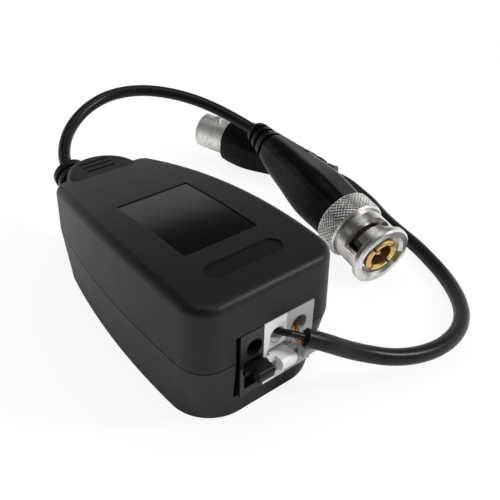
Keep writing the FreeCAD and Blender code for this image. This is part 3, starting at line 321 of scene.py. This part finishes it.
@dataclass(frozen=True)
class Vinyl(Finish):
    """Soft glossy vinyl: slow waves from the mould, faint scuffs and specks of dust."""

    wave: float = 3.0 * MM
    wave_depth: float = 0.06 * MM
    scuff: float = 1.2 * MM
    gloss_spread: float = 0.12
    dust: RGB = (0.06, 0.06, 0.06)
    dust_size: float = 0.3 * MM
    dust_from: float = 0.8
    dust_edge: float = 0.03
    dust_roughness: float = 0.3

    def surface(self, graph: Graph) -> dict[str, object]:
        """Make the vinyl.

        Args:
            graph: The material's graph.

        Returns:
            The values and links of the shader's sockets.
        """
        where = graph.place()
        waves = graph.noise(where, self.wave, detail=1.0)
        scuffs = graph.noise(where, self.scuff, detail=5.0)
        specks = graph.noise(where, self.dust_size)
        dusty = graph.band(specks, self.dust_from, ABOVE, self.dust_edge)
        rough = self.roughness - self.gloss_spread / 2 + scuffs * self.gloss_spread
        return {"Base Color": graph.blend(dusty, self.colour, self.dust),
                "Roughness": rough + dusty * self.dust_roughness,
                "Normal": graph.bump(waves, self.wave_depth)}


@dataclass(frozen=True)
class Plated(Finish):
    """Turned and plated metal: fine tool rings round its axis, a stain, and shade painted as darker
    grey metal far back along its axis.
    """

    axis: Axis = PLUG_AXIS
    ring: float = 0.12 * MM
    ring_depth: float = 0.002 * MM
    stain: RGB = (0.60, 0.58, 0.55)
    stain_size: float = 1.6 * MM
    stain_from: float = 0.55
    stain_edge: float = 0.12
    gloss_spread: float = 0.06
    # Painted shade: the darker grey that the metal turns far back along its axis, from the given
    # station on, where the part lies in shadow.
    deep_shade: RGB = (0.30, 0.29, 0.28)
    deep_shade_from: float = 1.0
    deep_shade_edge: float = 0.2 * MM

    def local(self, graph: Graph) -> tuple[Signal, Signal, Signal, Signal]:
        """Find the place in the axis's frame.

        Args:
            graph: The material's graph.

        Returns:
            The place as a whole, and its parts across, down and along the axis.
        """
        matrix = self.axis.matrix()
        turned = graph.node("ShaderNodeMapping", {"vector_type": "TEXTURE"},
                            {"Vector": graph.place(), "Location": matrix.to_translation(),
                             "Rotation": matrix.to_euler()})
        parts = graph.node("ShaderNodeSeparateXYZ", inputs={0: turned})
        return turned, parts.beside(0), parts.beside(1), parts.beside(2)

    def surface(self, graph: Graph) -> dict[str, object]:
        """Make the metal.

        Args:
            graph: The material's graph.

        Returns:
            The values and links of the shader's sockets.
        """
        turned, _, _, station = self.local(graph)
        rings = graph.node("ShaderNodeTexNoise", {"noise_dimensions": "1D"},
                           {"W": station, "Scale": 1.0 / self.ring, "Detail": 2.0})
        stains = graph.noise(turned, self.stain_size, detail=5.0)
        spread = graph.band(stains, self.stain_from, ABOVE, self.stain_edge)
        rough = self.roughness - self.gloss_spread / 2 + stains * self.gloss_spread
        plating = graph.blend(spread, self.colour, self.stain)
        # Painted shade: far back along the axis the colour turns darker grey, for the shadow deep
        # inside the plug.
        painted_deep_shade = graph.band(station, self.deep_shade_from, ABOVE, self.deep_shade_edge)
        return {"Base Color": graph.blend(painted_deep_shade, plating, self.deep_shade), "Metallic": 1.0,
                "Roughness": rough, "Normal": graph.bump(rings, self.ring_depth)}


@dataclass(frozen=True)
class Knurled(Plated):
    """Plated metal of a knurl, with shade painted dark at the bottom of its grooves."""

    # Painted shade: the dark colour, the radius below which it is painted, and the width of its soft
    # edge, for the shade at the bottom of the grooves.
    groove_shade_colour: RGB = (0.10, 0.10, 0.10)
    groove_shade_radius: float = 7.115 * MM
    groove_shade_edge: float = 0.015 * MM

    def surface(self, graph: Graph) -> dict[str, object]:
        """Make the knurl's metal.

        Args:
            graph: The material's graph.

        Returns:
            The values and links of the shader's sockets.
        """
        sockets = super().surface(graph)
        _, across, down, _ = self.local(graph)
        square = across * across + down * down
        # Painted shade: the metal is darkened below the groove radius, where shade falls at the bottom
        # of the knurl's grooves.
        groove_shade_mask = graph.band(square.maths("SQRT", square), BELOW, self.groove_shade_radius, self.groove_shade_edge)
        return {**sockets, "Base Color": graph.blend(groove_shade_mask, sockets["Base Color"], self.groove_shade_colour)}


@dataclass(frozen=True)
class Sheet(Finish):
    """A plain technical surface with an even fine structure: laminate, ferrite or ceramic."""

    metallic: float = 0.0
    grain: float = 0.4 * MM
    grain_depth: float = 0.01 * MM
    second: RGB = (0.5, 0.5, 0.5)
    second_share: float = 0.3
    gloss_spread: float = 0.1

    def surface(self, graph: Graph) -> dict[str, object]:
        """Make the surface.

        Args:
            graph: The material's graph.

        Returns:
            The values and links of the shader's sockets.
        """
        structure = graph.noise(graph.place(), self.grain, detail=4.0)
        return {"Base Color": graph.blend(structure * self.second_share, self.colour, self.second),
                "Metallic": self.metallic,
                "Roughness": self.roughness + structure * self.gloss_spread,
                "Normal": graph.bump(structure, self.grain_depth)}


LABEL_PATCH = Patch(half_width=8.0 * MM, front=-15.6 * MM, back=6.6 * MM, floor=24.0 * MM,
                    roughness=0.12)
WINDOW_PATCH = Patch(half_width=8.1 * MM, front=-23.7 * MM, back=-19.6 * MM, floor=24.0 * MM,
                     roughness=0.34, corner=2.05 * MM)

CASE_BLACK = Moulded("case_black_grained", "case_black", (0.004, 0.004, 0.0042), 0.46, shine=0.25,
                     grain=0.32 * MM, grain_depth=0.045 * MM, patches=(LABEL_PATCH, WINDOW_PATCH))
VINYL_BLACK = Vinyl("vinyl_black", "boot_black", (0.003, 0.003, 0.0032), 0.28, shine=0.10)
SHEATH_BLACK = Vinyl("sheath_black", "cord_black", (0.007, 0.007, 0.0072), 0.33, shine=0.18,
                     wave=6.0 * MM, wave_depth=0.02 * MM)
CORE_BLACK = Vinyl("core_black_glossy", "core_black", (0.005, 0.005, 0.005), 0.30, shine=0.16,
                   wave=1.5 * MM, wave_depth=0.02 * MM)
TERMINAL_BLACK = Moulded("terminal_black_satin", "terminal_black", (0.008, 0.008, 0.0083), 0.36,
                         shine=0.35, grain_depth=0.002 * MM)
LEVER_BLACK = Moulded("lever_black_satin", "terminal_black", (0.004, 0.004, 0.0042), 0.42,
                      shine=0.15, grain_depth=0.002 * MM)
TERMINAL_WHITE = Moulded("terminal_white_satin", "terminal_white", (0.70, 0.70, 0.69), 0.38,
                         grain_depth=0.002 * MM, mottle_share=0.03)
TERMINAL_GREY = Moulded("terminal_grey_satin", "terminal_grey", (0.36, 0.36, 0.355), 0.38,
                        grain_depth=0.002 * MM, mottle_share=0.05)
NICKEL = Plated("nickel_turned", "nickel", (0.76, 0.75, 0.73), 0.34)
KNURLED = Knurled("nickel_knurled", "nickel", (0.90, 0.89, 0.87), 0.32)
JACK_NICKEL = Plated("nickel_jack", "nickel", (0.84, 0.83, 0.81), 0.5, axis=JACK_AXIS)
# Painted shade: the gold turns darker grey from 2.4 mm behind the mouth, where the contacts lie in
# shadow deep in the plug.
GOLD = Plated("gold_contact", "gold", (0.76, 0.55, 0.22), 0.30, stain=(0.62, 0.40, 0.14),
              deep_shade_from=2.4 * MM)
INSULATOR = Moulded("insulator_amber", "insulator", (0.22, 0.08, 0.028), 0.35, mottle_share=0.1)
# Painted light: the plug's insulator is the same amber as the jack's, painted several times paler to
# lighten it where it sits deep and shaded in the plug's mouth.
PLUG_INSULATOR_LIT = Moulded("insulator_amber_painted_light", "insulator", (0.72, 0.26, 0.09), 0.35,
                         mottle_share=0.1)
GASKET = Moulded("gasket_silicone", "gasket", (0.30, 0.05, 0.03), 0.45)
SCREW_STEEL = Sheet("screw_steel_zinc", "screw_steel", (0.55, 0.55, 0.56), 0.32, metallic=1.0,
                    second=(0.4, 0.4, 0.42))
SPRING_STEEL = Sheet("spring_steel_bright", "spring_steel", (0.58, 0.57, 0.55), 0.26, metallic=1.0,
                     second=(0.42, 0.41, 0.38))
TINNED = Sheet("brass_tinned", "tinned_brass", (0.70, 0.69, 0.66), 0.30, metallic=1.0,
               second=(0.62, 0.52, 0.30))
LAMINATE = Sheet("board_green_masked", "board_green", (0.012, 0.10, 0.04), 0.34,
                 second=(0.03, 0.16, 0.07))
BOBBIN = Moulded("bobbin_nylon", "bobbin_plastic", (0.03, 0.03, 0.03), 0.45)
FERRITE = Sheet("ferrite_grey", "ferrite", (0.05, 0.05, 0.055), 0.55, second=(0.12, 0.12, 0.13))
ENAMEL = Sheet("wire_enamelled", "enamelled_wire", (0.52, 0.16, 0.04), 0.24, metallic=0.8,
               second=(0.7, 0.28, 0.08))
CERAMIC = Sheet("ceramic_glazed", "ceramic", (0.68, 0.66, 0.60), 0.22, second=(0.8, 0.79, 0.75))
CAPACITOR = Moulded("capacitor_dipped", "capacitor_case", (0.30, 0.10, 0.02), 0.3)
COPPER = Sheet("copper_strands", "copper", (0.95, 0.36, 0.08), 0.24, metallic=1.0,
               grain=0.18 * MM, second=(0.12, 0.018, 0.004), second_share=1.2)

FINISHES: dict[str, Finish] = {
    "upper_case": CASE_BLACK, "lower_case": CASE_BLACK, "case_screws": SCREW_STEEL,
    "strain_relief": SHEATH_BLACK, "circuit_board": LAMINATE, "transformer_base": BOBBIN,
    "transformer_core": FERRITE, "winding_primary": ENAMEL, "winding_secondary": ENAMEL,
    "surge_arrester": CERAMIC, "filter_capacitor": CAPACITOR, "inner_leads": SHEATH_BLACK,
    "terminal_black": TERMINAL_BLACK, "terminal_white": TERMINAL_WHITE, "terminal_grey": TERMINAL_GREY,
    "lever_black": LEVER_BLACK, "lever_white": TERMINAL_WHITE, "lever_grey": TERMINAL_GREY,
    "clamp_spring_black": SPRING_STEEL, "clamp_spring_white": SPRING_STEEL,
    "clamp_spring_grey": SPRING_STEEL, "contact_strip_black": TINNED, "contact_strip_white": TINNED,
    "contact_strip_grey": TINNED, "plug_boot": VINYL_BLACK, "jack_boot": VINYL_BLACK,
    "plug_body": NICKEL, "plug_contact_sleeve": GOLD, "plug_insulator": PLUG_INSULATOR_LIT,
    "plug_pin": GOLD, "plug_gasket": GASKET, "spring_washer": SPRING_STEEL, "coupling_nut": NICKEL,
    "jack_barrel": JACK_NICKEL, "jack_insulator": INSULATOR, "jack_contact": GOLD,
}


def put(name: str, data: bpy.types.ID) -> bpy.types.Object:
    """Add an object at the origin to the scene.

    Args:
        name: The object's name.
        data: Its mesh, curve, light or camera.

    Returns:
        The object.
    """
    made = bpy.data.objects.new(name, data)
    bpy.context.scene.collection.objects.link(made)
    return made


def keep(piece: bpy.types.Object, finish: Finish, body: Body, nodes: Sequence[str] = ()) -> None:
    """Dress a new piece and fasten it to its body.

    Args:
        piece: The piece, in place.
        finish: What it is covered with.
        body: The body that it moves with.
        nodes: The solids that it stands for.
    """
    piece.data.materials.clear()
    piece.data.materials.append(finish.material())
    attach(piece, body.value)
    if nodes:
        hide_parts(*nodes)
    LOG.info("piece %s on %s, finish %s", piece.name, body.value, finish.name)


def route_curve(name: str, points: Sequence[Point], diameter: float = 0.0) -> bpy.types.Curve:
    """Draw a smooth curve along a route.

    Args:
        name: The curve's name.
        points: The route's points, in metres.
        diameter: The tube's diameter, or 0 for a bare line.

    Returns:
        The curve.
    """
    curve = bpy.data.curves.new(name, "CURVE")
    curve.dimensions = "3D"
    curve.resolution_u = ROUTE_STEPS
    spline = curve.splines.new("NURBS")
    spline.points.add(len(points) - 1)
    for control, point in zip(spline.points, points):
        control.co = (*point, 1.0)
    spline.order_u = ROUTE_ORDER
    spline.use_endpoint_u = True
    curve.bevel_depth = diameter / 2.0
    curve.bevel_resolution = TUBE_ROUNDNESS
    curve.use_fill_caps = diameter > 0.0
    return curve


def grow(name: str, mesh: bpy.types.Mesh, tree: bpy.types.NodeTree,
         sizes: Mapping[str, object]) -> bpy.types.Object:
    """Run a geometry tree on a mesh and return its result as a plain mesh object.

    Args:
        name: The new piece's name.
        mesh: What the tree starts from.
        tree: The geometry tree.
        sizes: The values of its named inputs.

    Returns:
        The new object, with no modifier on it.
    """
    host = put(name + "_start", mesh)
    modifier = host.modifiers.new("grow", "NODES")
    modifier.node_group = tree
    for item in tree.interface.items_tree:
        if item.item_type == "SOCKET" and item.in_out == "INPUT" and item.name in sizes:
            modifier[item.identifier] = sizes[item.name]
    ready = host.evaluated_get(bpy.context.evaluated_depsgraph_get())
    made = put(name, bpy.data.meshes.new_from_object(ready))
    bpy.data.objects.remove(host)
    return made


def geometry_graph(name: str, inputs: Mapping[str, str]) -> tuple[Graph, dict[str, Signal]]:
    """Start a geometry tree.

    Args:
        name: The tree's name.
        inputs: The socket type of each named input, apart from the geometry.

    Returns:
        The graph, and its inputs as signals by name.
    """
    tree = bpy.data.node_groups.new(name, "GeometryNodeTree")
    tree.interface.new_socket("Geometry", in_out="INPUT", socket_type="NodeSocketGeometry")
    for label, kind in inputs.items():
        tree.interface.new_socket(label, in_out="INPUT", socket_type=kind)
    tree.interface.new_socket("Geometry", in_out="OUTPUT", socket_type="NodeSocketGeometry")
    graph = Graph(tree)
    start = graph.node("NodeGroupInput")
    return graph, {label: start.beside(label) for label in ("Geometry", *inputs)}


def finish_tree(graph: Graph, solid: Signal, finish: Signal) -> bpy.types.NodeTree:
    """End a geometry tree with real meshes and their material.

    Args:
        graph: The tree's graph.
        solid: The geometry that the tree has made.
        finish: The material.

    Returns:
        The tree.
    """
    real = graph.node("GeometryNodeRealizeInstances", inputs={0: solid})
    dressed = graph.node("GeometryNodeSetMaterial", inputs={"Geometry": real, "Material": finish})
    graph.node("NodeGroupOutput", inputs={"Geometry": dressed})
    return graph.tree


@dataclass(frozen=True)
class Lead:
    """A free lead: a smooth tube along a given route."""

    name: str
    points: tuple[Point, ...]
    diameter: float
    length: float
    exit: Point
    far_end: str
    stiffness: str
    pieces: tuple[str, ...]

    def lay(self) -> None:
        tube = put(self.name + "_sheath", route_curve(self.name, self.points, self.diameter))
        keep(tube, SHEATH_BLACK, Body.ISOLATOR, [self.name])


PLUG_LEAD = Lead(
    name="plug_cord",
    points=((0.00023, 0.04091, 0.01465), (0.00062, 0.04475, 0.01570), (0.00215, 0.0495, 0.0170),
            (0.0053, 0.0540, 0.0189), (0.0099, 0.0577, 0.0209), (0.0159, 0.0601, 0.0228),
            (0.0225, 0.0607, 0.0240), (0.0294, 0.0588, 0.0242), (0.0353, 0.0552, 0.0234),
            (0.0403, 0.0506, 0.0220), (0.0442, 0.0450, 0.0202), (0.0473, 0.0394, 0.0180),
            (0.04919, 0.03387, 0.01631), (0.04845, 0.02830, 0.01536)),
    diameter=2.9 * MM, length=0.0809, exit=(0.00052, 0.04379, 0.01544), far_end="plug",
    stiffness="medium",
    pieces=("strain_relief", "plug_boot", "plug_body", "plug_contact_sleeve", "plug_insulator",
            "plug_pin", "plug_gasket", "spring_washer", "coupling_nut"))

JACK_LEAD = Lead(
    name="jack_cord",
    points=((0.06202, 0.02198, 0.00508), (0.06370, 0.01676, 0.00474), (0.0651, 0.0134, 0.0037),
            (0.0658, 0.0096, 0.0022), (0.0653, 0.0054, 0.0017), (0.0636, 0.0014, 0.0017),
            (0.0617, -0.0036, 0.00172), (0.0603, -0.0092, 0.0017), (0.0589, -0.0152, 0.00172),
            (0.0570, -0.0206, 0.0017), (0.0550, -0.0256, 0.00172), (0.0524, -0.0301, 0.0020),
            (0.0488, -0.0348, 0.0026), (0.0442, -0.0390, 0.0032), (0.0386, -0.0418, 0.0038),
            (0.0322, -0.0429, 0.0045), (0.0262, -0.0423, 0.0053), (0.0206, -0.0404, 0.0064),
            (0.0158, -0.0378, 0.0082), (0.0117, -0.0361, 0.0105), (0.0077, -0.0349, 0.0134),
            (0.0045, -0.0331, 0.0151)),
    diameter=3.3 * MM, length=0.1123, exit=(0.0045, -0.0331, 0.0151), far_end="connector",
    stiffness="medium",
    pieces=("jack_boot", "jack_barrel", "jack_insulator", "jack_contact"))


@dataclass(frozen=True)
class WireEnds:
    """The bared end of the jack's lead: an insulated core and the twisted strands of its screen."""

    core_points: tuple[Point, ...] = (
        (0.0045, -0.0331, 0.0151), (0.00303, -0.03227, 0.01588), (0.00137, -0.0314, 0.0167),
        (0.00087, -0.0292, 0.0159), (0.00087, -0.0238, 0.0154))
    core_diameter: float = 1.25 * MM
    screen_points: tuple[Point, ...] = (
        (0.0042, -0.03275, 0.01415), (0.00337, -0.03228, 0.01459), (0.00425, -0.0312, 0.0151),
        (0.00505, -0.0286, 0.0154), (0.00575, -0.0238, 0.0154))
    strands: int = 12
    strand_radius: float = 0.065 * MM
    twist_radius: float = 0.26 * MM
    turns: float = 1.4
    fray: float = 0.45 * MM
    least_reach: float = 0.35
    seed: int = 5
    stations: int = 36
    sides: int = 7

    def tree(self) -> bpy.types.NodeTree:
        """Build the tree that lays strands round a line.

        Returns:
            The tree.
        """
        graph, given = geometry_graph("strands", {
            "Strands": "NodeSocketInt", "Strand Radius": "NodeSocketFloat",
            "Twist Radius": "NodeSocketFloat", "Turns": "NodeSocketFloat", "Fray": "NodeSocketFloat",
            "Finish": "NodeSocketMaterial"})
        line = graph.node("GeometryNodeMeshToCurve", inputs={0: given["Geometry"]})
        line = graph.node("GeometryNodeResampleCurve", inputs={"Curve": line, "Count": self.stations})
        copies = graph.node("GeometryNodeDuplicateElements", {"domain": "SPLINE"},
                            {"Geometry": line, "Amount": given["Strands"]})
        number = copies.beside("Duplicate Index")
        part = graph.node("GeometryNodeSplineParameter", output="Factor")
        chance = graph.node("FunctionNodeRandomValue", {"data_type": "FLOAT"},
                            {2: self.least_reach, 3: 1.0, "ID": number, "Seed": self.seed}, output=1)
        angle = TURN * (number / given["Strands"]) + part * given["Turns"] * TURN
        reach = given["Twist Radius"] * chance + (1.0 - part) * chance * given["Fray"]
        tangent = graph.node("GeometryNodeInputTangent")
        normal = graph.node("GeometryNodeInputNormal")
        side = graph.node("ShaderNodeVectorMath", {"operation": "CROSS_PRODUCT"},
                          {0: tangent, 1: normal})
        first = graph.node("ShaderNodeVectorMath", {"operation": "SCALE"},
                           {0: normal, "Scale": reach * angle.maths("COSINE", angle)})
        second = graph.node("ShaderNodeVectorMath", {"operation": "SCALE"},
                            {0: side, "Scale": reach * angle.maths("SINE", angle)})
        away = graph.node("ShaderNodeVectorMath", {"operation": "ADD"}, {0: first, 1: second})
        wound = graph.node("GeometryNodeSetPosition", inputs={"Geometry": copies, "Offset": away})
        section = graph.node("GeometryNodeCurvePrimitiveCircle",
                             inputs={"Resolution": self.sides, "Radius": given["Strand Radius"]})
        solid = graph.node("GeometryNodeCurveToMesh",
                           inputs={"Curve": wound, "Profile Curve": section, "Fill Caps": True})
        return finish_tree(graph, solid, given["Finish"])

    def build(self) -> None:
        """Make the core and the strands."""
        core = put("core_insulation", route_curve("core", self.core_points, self.core_diameter))
        keep(core, CORE_BLACK, Body.ISOLATOR, ["core_wire"])
        guide = put("screen_guide", route_curve("screen", self.screen_points))
        line = bpy.data.meshes.new_from_object(guide)
        bpy.data.objects.remove(guide)
        strands = grow("screen_strands", line, self.tree(), {
            "Strands": self.strands, "Strand Radius": self.strand_radius,
            "Twist Radius": self.twist_radius, "Turns": self.turns, "Fray": self.fray,
            "Finish": COPPER.material()})
        keep(strands, COPPER, Body.ISOLATOR, ["braid_tail"])


@dataclass(frozen=True)
class Knurl:
    """The diamond knurl round the back of the coupling nut."""

    axis: Axis = PLUG_AXIS
    radius: float = 7.07 * MM
    start: float = 9.85 * MM
    length: float = 4.2 * MM
    columns: int = 46
    rows: int = 10
    height: float = 0.18 * MM
    flat: float = 0.2
    sides: int = 4

    def tree(self) -> bpy.types.NodeTree:
        """Build the tree that sets staggered pyramids round a cylinder.

        Its grid is 1 by 1 about its middle, so 0.5 more makes a place 0 to 1, and every second row
        stands half a column further on.

        Returns:
            The tree.
        """
        graph, given = geometry_graph("diamond_knurl", {
            "Radius": "NodeSocketFloat", "Length": "NodeSocketFloat", "Columns": "NodeSocketInt",
            "Rows": "NodeSocketInt", "Height": "NodeSocketFloat", "Flat": "NodeSocketFloat",
            "Finish": "NodeSocketMaterial"})
        grid = graph.node("GeometryNodeMeshGrid",
                          inputs={"Size X": 1.0, "Size Y": 1.0, "Vertices X": given["Columns"],
                                  "Vertices Y": given["Rows"]})
        spot = graph.node("ShaderNodeSeparateXYZ", inputs={0: graph.node("GeometryNodeInputPosition")})
        across, along = (spot.beside(i) for i in range(2))
        row = along.maths("ROUND", (along + 0.5) * (given["Rows"] - 1.0))
        column = across.maths("ROUND", (across + 0.5) * (given["Columns"] - 1.0))
        shift = row.maths("MODULO", row, 2.0) * 0.5
        angle = (column + shift) / given["Columns"] * TURN
        radial = graph.node("ShaderNodeCombineXYZ",
                            inputs={"X": angle.maths("COSINE", angle), "Y": angle.maths("SINE", angle)})
        out = graph.node("ShaderNodeVectorMath", {"operation": "SCALE"},
                         {0: radial, "Scale": given["Radius"]})
        rise = graph.node("ShaderNodeCombineXYZ", inputs={"Z": (along + 0.5) * given["Length"]})
        where = graph.node("ShaderNodeVectorMath", {"operation": "ADD"}, {0: out, 1: rise})
        grid = graph.node("GeometryNodeStoreNamedAttribute", {"data_type": "FLOAT_VECTOR"},
                          {"Geometry": grid, "Name": "outward", 3: radial})
        placed = graph.node("GeometryNodeSetPosition", inputs={"Geometry": grid, "Position": where})
        outward = graph.node("GeometryNodeInputNamedAttribute", {"data_type": "FLOAT_VECTOR"},
                             {"Name": "outward"})
        facing = graph.node("FunctionNodeAlignRotationToVector", {"axis": "Z"}, {"Vector": outward})
        facing = graph.node("FunctionNodeAlignRotationToVector", {"axis": "X", "pivot_axis": "Z"},
                            {"Rotation": facing, "Vector": (0.0, 0.0, 1.0)})
        point = graph.node("GeometryNodeMeshCone", {"fill_type": "NONE"},
                           {"Vertices": self.sides, "Radius Top": given["Flat"],
                            "Radius Bottom": 1.0, "Depth": 1.0})
        lid = graph.node("GeometryNodeMeshCircle", {"fill_type": "NGON"},
                         {"Vertices": self.sides, "Radius": given["Flat"]})
        lid = graph.node("GeometryNodeTransform",
                         inputs={"Geometry": lid, "Translation": (0.0, 0.0, 1.0)})
        pyramid = graph.node("GeometryNodeJoinGeometry", inputs={0: [point, lid]})
        size = graph.node("ShaderNodeCombineXYZ", inputs={
            "X": given["Length"] / (given["Rows"] - 1.0),
            "Y": given["Radius"] / given["Columns"] * TURN / 2.0, "Z": given["Height"]})
        spread = graph.node("GeometryNodeInstanceOnPoints", inputs={
            "Points": placed, "Instance": pyramid, "Rotation": facing, "Scale": size})
        return finish_tree(graph, spread, given["Finish"])

    def build(self) -> None:
        """Make the knurl and fasten it to the nut."""
        knurl = grow("nut_knurl", bpy.data.meshes.new("knurl_start"), self.tree(), {
            "Radius": self.radius, "Length": self.length, "Columns": self.columns, "Rows": self.rows,
            "Height": self.height, "Flat": self.flat, "Finish": KNURLED.material()})
        knurl.data.transform(self.axis.matrix() @ Matrix.Translation((0.0, 0.0, self.start)))
        keep(knurl, KNURLED, Body.NUT)


@dataclass(frozen=True)
class Lamp:
    """A square soft lamp aimed at the middle of the object."""

    name: str
    way: Point
    distance: float
    size: float
    power: float
    mirrored: bool = False

    def hang(self, middle: Vector) -> None:
        """Hang the lamp.

        Args:
            middle: The place that it is aimed at.
        """
        light = bpy.data.lights.new(self.name, "AREA")
        light.size = self.size
        light.energy = self.power
        lamp = put(self.name, light)
        lamp.visible_glossy = self.mirrored
        away = Vector(self.way).normalized()
        lamp.location = middle + away * self.distance
        lamp.rotation_euler = away.to_track_quat("Z", "Y").to_euler()


@dataclass(frozen=True)
class Studio:
    """The camera, the pale floor, the backdrop and the lamps."""

    camera_place: Point = (-0.06263, -0.09639, 0.09565)
    azimuth: float = -40.49
    elevation: float = 34.39
    roll: float = 1.51
    lens: float = 51.06
    sensor: float = 36.0
    nearest_seen: float = 0.01
    farthest_seen: float = 50.0
    floor_size: float = 4.0
    floor_grey: float = 0.86
    backdrop_top: float = 0.465
    backdrop_edge: float = 0.06
    backdrop_tone: float = 0.78
    fill: float = 1.0
    fill_gap: Point = (-0.65, -0.76, 0.0)
    fill_gap_from: float = 0.35
    fill_gap_edge: float = 0.35
    fill_gap_depth: float = 0.85
    floor_glow: float = 0.88
    middle: Point = (0.02, 0.0, 0.01)
    lamps: tuple[Lamp, ...] = (
        Lamp("key_lamp", (-0.55, 0.45, 0.85), 0.7, 0.45, 0.6),
        Lamp("top_lamp", (0.1, 0.0, 1.0), 0.7, 0.42, 1.1, mirrored=True),
        Lamp("edge_lamp", (0.536, -0.564, 0.627), 0.7, 0.10, 2.7, mirrored=True),
    )

    def camera(self) -> None:
        """Set up the camera at the photograph's angle."""
        turn, rise = math.radians(self.azimuth), math.radians(self.elevation)
        back = Vector((math.sin(turn) * math.cos(rise), -math.cos(turn) * math.cos(rise),
                       math.sin(rise)))
        data = bpy.data.cameras.new("camera")
        data.lens, data.sensor_width = self.lens, self.sensor
        data.clip_start, data.clip_end = self.nearest_seen, self.farthest_seen
        made = put("camera", data)
        made.location = self.camera_place
        made.rotation_mode = "QUATERNION"
        level = (-back).to_track_quat("-Z", "Y")
        made.rotation_quaternion = level @ Quaternion((0.0, 0.0, 1.0), math.radians(self.roll))
        bpy.context.scene.camera = made
        bpy.context.scene.view_settings.view_transform = "Standard"

    def floor(self) -> None:
        """Lay the pale floor, which is nearly white where the camera sees it."""
        half = self.floor_size / 2.0
        mesh = bpy.data.meshes.new("floor")
        mesh.from_pydata([(-half, -half, 0), (half, -half, 0), (half, half, 0), (-half, half, 0)], [],
                         [(0, 1, 2, 3)])
        made = put("floor", mesh)
        paper = bpy.data.materials.new("floor_paper")
        paper.use_nodes = True
        graph = Graph(paper.node_tree)
        pale = graph.node("ShaderNodeBsdfDiffuse", inputs={"Color": (*[self.floor_grey] * 3, 1.0)})
        white = graph.node("ShaderNodeEmission", inputs={"Color": (*WHITE, 1.0), "Strength": 1.0})
        path = graph.node("ShaderNodeLightPath", output="Is Camera Ray")
        seen = graph.node("ShaderNodeMixShader", inputs={0: path * self.floor_glow, 1: pale, 2: white})
        graph.node("ShaderNodeOutputMaterial", inputs={"Surface": seen})
        mesh.materials.append(paper)

    def backdrop(self) -> None:
        """Make the world: white where it is seen, a pale sweep in reflections, and an even fill."""
        world = bpy.data.worlds.new("studio")
        world.use_nodes = True
        bpy.context.scene.world = world
        graph = Graph(world.node_tree)
        way = graph.node("ShaderNodeTexCoord", output="Generated")
        height = graph.node("ShaderNodeSeparateXYZ", inputs={0: way}, output=2)
        facing = graph.node("ShaderNodeVectorMath", {"operation": "DOT_PRODUCT"},
                            {0: way, 1: self.fill_gap}, output="Value")
        gap = graph.band(facing, self.fill_gap_from, ABOVE, self.fill_gap_edge)
        open_side = 1.0 - self.fill_gap_depth * gap
        sweep = graph.band(height, BELOW, self.backdrop_top, self.backdrop_edge)
        tone = sweep * self.backdrop_tone * open_side
        seen = graph.node("ShaderNodeBackground", inputs={"Color": (*WHITE, 1.0), "Strength": 1.0})
        mirrored = graph.node("ShaderNodeBackground", inputs={"Color": graph.blend(tone, BLACK, WHITE)})
        even = graph.node("ShaderNodeBackground",
                          inputs={"Color": graph.blend(open_side * self.fill, BLACK, WHITE)})
        camera = graph.node("ShaderNodeLightPath", output="Is Camera Ray")
        glossy, through = camera.beside("Is Glossy Ray"), camera.beside("Is Transmission Ray")
        light = graph.node("ShaderNodeMixShader", inputs={0: glossy, 1: even, 2: mirrored})
        shown = graph.node("ShaderNodeMixShader",
                           inputs={0: camera.maths("MAXIMUM", camera, through), 1: light, 2: seen})
        graph.node("ShaderNodeOutputWorld", inputs={"Surface": shown})

    def build(self) -> None:
        """Set up everything but the object."""
        self.camera()
        self.floor()
        self.backdrop()
        for lamp in self.lamps:
            lamp.hang(Vector(self.middle))
        LOG.info("studio ready")


@dataclass(frozen=True)
class Dresser:
    """Gives every solid that stays its finish."""

    finishes: Mapping[str, Finish]

    def dress(self) -> None:
        """Put each finish on its node."""
        for name, finish in self.finishes.items():
            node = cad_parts[name]
            for place in node.material_slots:
                place.material = finish.material()
            LOG.info("node %s has finish %s", name, finish.name)


def main() -> None:
    """Build the looks in order."""
    Studio().build()
    for lead in (PLUG_LEAD, JACK_LEAD):
        lead.lay()
    WireEnds().build()
    Knurl().build()
    Dresser(FINISHES).dress()


if __name__ == "__main__":
    main()
